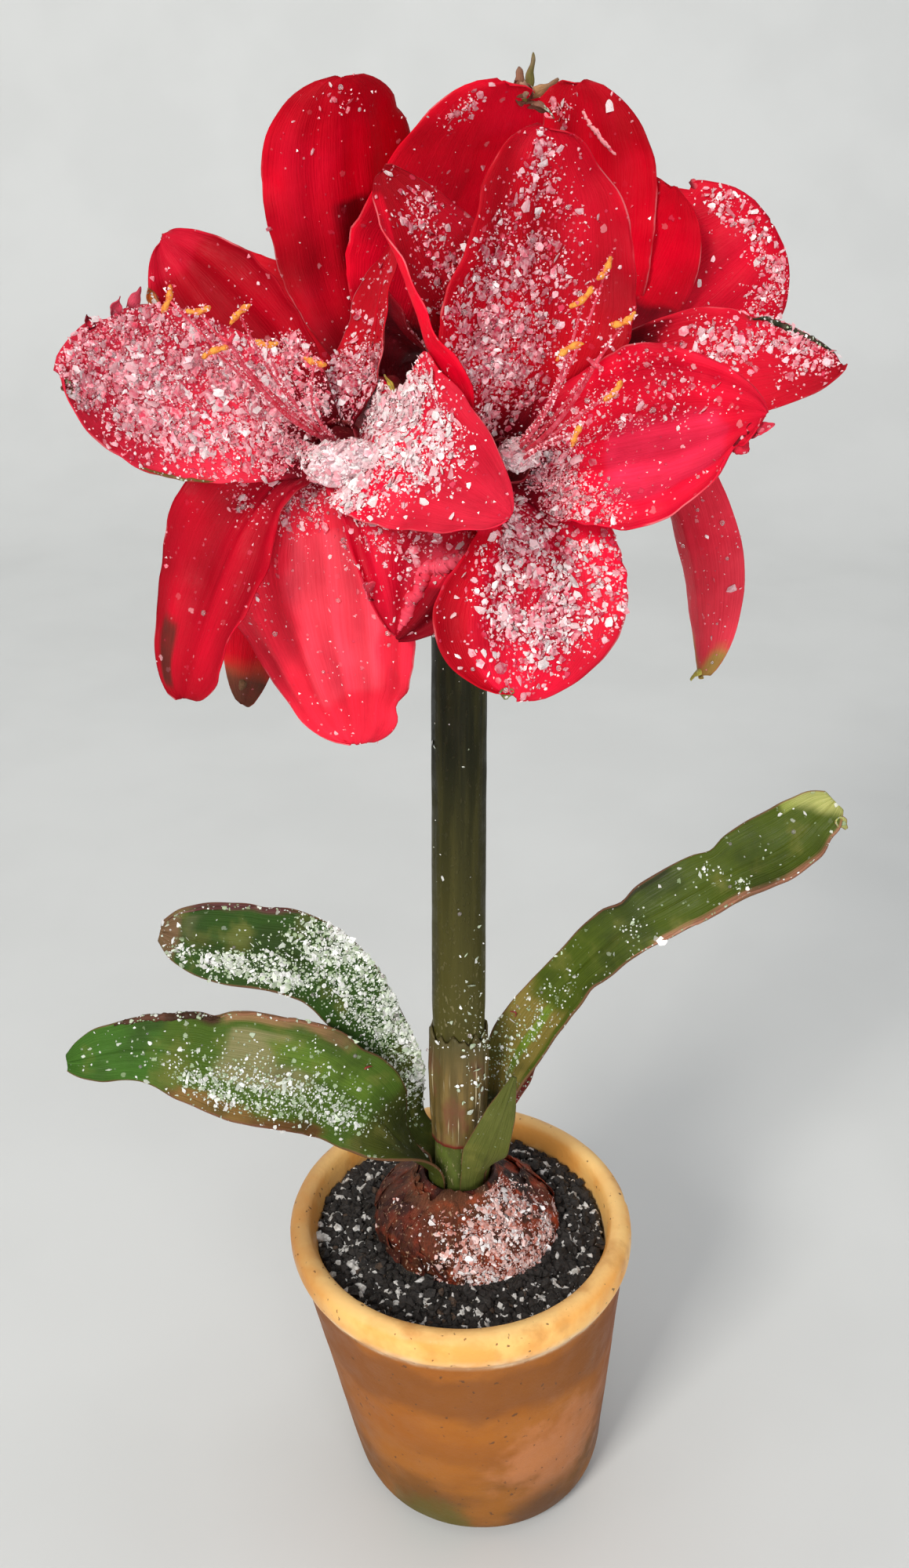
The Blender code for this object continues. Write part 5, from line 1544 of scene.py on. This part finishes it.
def mound_sheet(centre, radii):
    """The upper and front part of a small heap."""
    tilt = np.linspace(0.05, 2.1, HEAP_GRID[0])
    angle = np.linspace(math.pi, -math.pi, HEAP_GRID[1])
    grid = turned_grid(np.sin(tilt), np.cos(tilt), angle)
    grid = grid * (1 + 0.22 * noise_at(grid, 2.2, centre[0] * 900)[..., None])
    grid = grid * np.array(radii) + np.array(centre)
    return Sheet(grid, np.linspace(0, 1, HEAP_GRID[0]), np.linspace(-1, 1, HEAP_GRID[1]))


def flake_looks():
    looks = {}
    for kind, constants, fade, pale, grain, rough in (
        ("clear", {"Transmission Weight": 0.32, "IOR": 1.31}, 0.3, 0.93, 1500, (0.16, 0.40)),
        ("white", {SHINE: 0.35}, 0.35, 0.96, 1800, (0.25, 0.5)),
    ):
        look = Look("flake_" + kind, constants)
        look.colour = look.attribute("tint", "Color")
        look.coat((look.patch(900, 0.35, 0.65, 0, fade, 2), (1.0, pale, pale)))
        looks[kind] = look.finish(look.patch(700, 0.3, 0.7, *rough), look.noise(grain, 2.0), 0.0001)
    bead = Look("flake_bead", {"Transmission Weight": 0.85, "IOR": 1.33}, (0.98, 0.93, 0.93))
    bead.coat((bead.patch(300, 0.4, 0.6), (0.94, 0.84, 0.86)))
    looks["grit"] = looks["white"]
    looks["bead"] = bead.finish(bead.patch(500, 0.3, 0.7, 0.04, 0.12))
    return looks


def picked(palette, count):
    """A colour from the palette for each of count flakes, with a little change in each."""
    shares = np.cumsum([share for share, _ in palette])
    colours = np.array([linear(colour) for _, colour in palette])
    chosen = np.searchsorted(shares, rng.uniform(0, shares[-1], count))
    return colours[chosen.clip(0, len(colours) - 1)] * rng.uniform(0.86, 1.0, (count, 1))


def make_flakes(sheets, threads):
    looks = flake_looks()
    groups = {}
    for key, sheet in sheets.items():
        low = key.startswith(("leaf", "spathe", "bulb", "stem"))
        where = "low" if low else "back" if key.startswith("back") else "head"
        palette = PALETTES[PALETTE_OF.get(key, "leaf" if low else "bloom")]
        for kind, (share, clump) in KINDS.items():
            thin = LOW_GRIT if kind == "grit" and low else 1.0
            thin *= DENSE.get(key, 1.0) * BLENDS.get(key, EVEN)[kind]
            points, normals, cover = fallen(sheet, FALLS.get(key, SCATTER), thin * share / FLAKE_AREA, clump)
            normals = -normals if key in OUTWARD else normals
            tints = picked(palette, len(points))
            groups.setdefault((kind, where), []).append((points, normals, cover, tints))
    for points, normals in threads:
        chosen = rng.uniform(0, 1, len(points)) < 0.75
        count = chosen.sum()
        tints = picked(PALETTES["bloom"], count)
        groups["grit", "head"].append((points[chosen], normals[chosen], np.full(count, 0.3), tints))
    for (kind, where), stacks in groups.items():
        points, normals, cover, tints = (np.concatenate([stack[i] for stack in stacks]) for i in range(4))
        count = len(points)
        deep = cover * rng.uniform(0, 1, count)
        name = "flakes_" + kind + "_" + where
        if kind in ("clear", "white"):
            size = np.exp(rng.normal(math.log(0.00068), 0.42, count)).clip(0.0003, 0.0016)
            width = size * rng.uniform(0.45, 1.0, count)
            sizes = np.stack((size, width, size * rng.uniform(0.14, 0.28, count)), axis=-1)
            points = points + normals * (0.00030 + 0.0010 * deep)[:, None]
            mesh = strewn(name, shard(6), points, normals, sizes, 0.42, 0.40, tints=tints)
        elif kind == "grit":
            size = rng.uniform(0.00014, 0.00046, count)
            sizes = size[:, None] * rng.uniform(0.6, 1.3, (count, 3))
            points = points + normals * (0.00025 + 0.0006 * deep)[:, None]
            mesh = strewn(name, splinter(), points, normals, sizes, 0.3, 0.6, tints=tints)
        else:
            size = rng.uniform(0.00035, 0.00080, count)
            sizes = size[:, None] * np.array((1.0, 1.0, 0.75))
            points = points + normals * (0.00025 + size * 0.6)[:, None]
            mesh = strewn(name, ball(2), points, normals, sizes, 0.02, 0.2, True)
        new_piece(name, mesh, looks[kind])
    for index, (centre, radii) in enumerate(HEAPS):
        points, tris = ball(4)
        points = points * (1 + 0.2 * noise_at(points, 2.2, index + 2)[:, None]) * np.array(radii) * 0.93
        mesh = new_mesh("heap", points + np.array(centre), [tris])
        give(mesh, "tint", np.tile((0.90, 0.66, 0.70, 1.0), (len(points), 1)))
        new_piece("heap_" + str(index), mesh, looks["white"])


def make_scraps(sheets, looks):
    """Dried tips, torn flaps and raised lines, each rooted in the blade that it belongs to."""
    stores = {"red": Parts(), "dry": Parts()}
    share = np.linspace(0, 1, SCRAP_GRID[0])
    level = np.linspace(-1, 1, SCRAP_GRID[1])
    for index, (store, key, along, across, way, length, width, curl, colour) in enumerate(SCRAPS):
        points, normals = sheets[key].on(along, across)
        root, normal = Vector(points[0]), Vector(normals[0])
        length, width = mm((length, width))
        way = Vector(way).normalized()
        side = way.cross(normal).normalized()
        lift = side.cross(way)
        root -= way * 0.0008
        end = root + way * length + lift * length * 0.25 * curl
        elbow = root + way * length * 0.6 - lift * length * 0.1 * curl
        grid = np.zeros(SCRAP_GRID + (3,))
        for row, t in enumerate(share):
            rib = quadratic(root, elbow, end, float(t))[0]
            swell = 0.55 + 0.45 * math.sin(math.pi * min(1, t * 1.4))
            half = width / 2 * swell * (1 - t**2.2) ** 0.7 + 0.00012
            half *= 1 + 0.35 * noise.noise((t * 5, index * 3.1, 0))
            x, y = bent_row(level, half, lambda v: 1.1 * abs(curl) * v)
            grid[row] = row_points(rib, x, side, y, lift * math.copysign(1, curl))
        sheet = Sheet(grid, share, level)
        sheet.press(0.0007 * noise_at(grid, 420, index) * ease(share * 3)[:, None])
        tint = np.array(linear(colour)) * (1 + 0.35 * noise_at(grid, 500, index + 40))[..., None]
        sheet.shell(
            stores[store], np.full(SCRAP_GRID, SCRAP_THICKNESS), tint.clip(0, 1),
            frost=np.full(SCRAP_GRID, 0.3), wide=np.tile(level * 3, (SCRAP_GRID[0], 1)),
        )
    share = np.linspace(0, 1, 60)
    for index, (store, key, first, last, radius, colour) in enumerate(SEAMS):
        along = first[0] + (last[0] - first[0]) * share
        shift = noise_along(share, 9, index * 7.7, 0)
        across = np.clip(first[1] + (last[1] - first[1]) * share + shift * 0.05, -0.99, 0.99)
        points, normals = sheets[key].on(along, across)
        radii = radius / 1000 * (1 + 0.6 * noise_along(share, 24, index * 5.3, 2))
        radii = radii * np.sqrt(np.sin(math.pi * np.clip(share, 0.03, 0.97)))
        tube(
            stores[store], points + normals * 0.0003, radii, 8, tint=np.array(linear(colour) + (1,)),
            frost=0.3, wide=0.0, place=np.array((0.6, 0.0, 0.0)),
        )
    stores["red"].piece("scraps_red", looks["petal"], "petal_red")
    stores["dry"].piece("scraps_dry", looks["bract"], "bract_brown")


def make_stage():
    """A pale floor that turns up into a backdrop, seen from all round as plain."""
    line = [(-3.0, 0.0), (1.1, 0.0)]
    radius = 0.6
    for step in range(1, 13):
        angle = math.radians(90 * step / 12)
        line.append((1.1 + radius * math.sin(angle), radius * (1 - math.cos(angle))))
    line.append((1.7, 3.0))
    points, quads = [], []
    for index, (y, z) in enumerate(line):
        points += [(-3.5, y, z - 0.0002), (3.5, y, z - 0.0002)]
        if index:
            quads.append((index * 2 - 2, index * 2 - 1, index * 2 + 1, index * 2))
    look = Look("floor", colour=(0.66, 0.67, 0.66))
    look.coat((look.patch(6, 0.35, 0.65), (0.69, 0.70, 0.69)))
    floor = new_object("floor", new_mesh("floor", points, [np.array(quads)]))
    floor.data.materials.append(look.finish(0.7))


def make_lights():
    scene = bpy.context.scene
    scene.view_settings.view_transform = "Standard"
    scene.world = bpy.data.worlds.new("studio")
    scene.world.use_nodes = True
    background = scene.world.node_tree.nodes["Background"]
    background.inputs["Color"].default_value = (0.93, 0.96, 1.0, 1)
    background.inputs["Strength"].default_value = 0.36
    for name, place, aim, size, power, colour in (
        ("key", (-1.5, -2.3, 2.1), (0, 0, 0.3), 0.9, 76.0, (1.0, 0.97, 0.92)),
        ("fill", (0.7, -2.3, 0.7), (0, 0, 0.3), 1.4, 24.0, (0.97, 0.97, 1.0)),
        ("back", (0.0, 0.3, 2.6), (0, 2.0, 0.2), 1.6, 12.0, (1.0, 1.0, 1.0)),
    ):
        light = bpy.data.lights.new(name, "AREA")
        light.size = size
        light.energy = power
        light.color = colour
        lamp = new_object(name, light)
        lamp.location = place
        lamp.rotation_euler = (Vector(aim) - Vector(place)).to_track_quat("-Z", "Y").to_euler()


def make_camera():
    data = bpy.data.cameras.new("camera")
    data.sensor_width = 36
    data.lens = 32.4
    data.clip_start = 0.02
    camera = new_object("camera", data)
    camera.location = (-0.00185, -0.38199, 0.46456)
    camera.rotation_euler = (math.radians(64.041), 0, 0)
    bpy.context.scene.camera = camera


def make_all():
    make_camera()
    make_stage()
    make_lights()
    heart = {
        "tube": speckled_look("tube_red", ((150, 24, 40), (120, 40, 36), (196, 90, 80)), 150),
        "filament": speckled_look("filament_red", ((206, 34, 60), (226, 84, 104), (250, 180, 190)), 300),
        "anther": speckled_look(
            "anther_yellow", ((240, 156, 52), (222, 112, 36), (252, 214, 140)), 900, (0.7, 0.9)
        ),
    }
    looks = {
        "petal": petal_look(),
        "leaf": leaf_look("leaf_skin", 0.14, (128, 124, 60), (40, 50, 18)),
        "bract": leaf_look("bract_skin", 0.12, (196, 160, 136), (104, 66, 50)),
    }
    sheets = {}
    threads = []
    for bloom in BLOOMS:
        make_petals(bloom, looks["petal"], sheets)
        make_heart(bloom, heart, threads)
    make_blades(looks, sheets)
    make_scraps(sheets, looks)
    make_stem()
    make_sleeve()
    make_bulb()
    make_pot()
    make_soil()
    profile = [(radius + 0.0006, height) for radius, height in softened(BULB_OUTSIDE[1:8], 0.0010, 1)]
    sheets["bulb"] = around_sheet(profile, -175, 15, 60, bulb_points)
    profile = [(STEM_FLAKE_RADIUS, z) for z in np.linspace(0.34, 0.20, 70)]
    profile += [(SLEEVE_FLAKE_RADIUS, z) for z in np.linspace(0.19, 0.15, 20)]
    sheets["stem"] = around_sheet(profile, -175, -5, 24, lambda points: points + np.array(NECK_CENTRE))
    for index, (centre, radii) in enumerate(HEAPS):
        sheets["heap_" + str(index)] = mound_sheet(centre, radii)
    make_flakes(sheets, threads)


make_all()
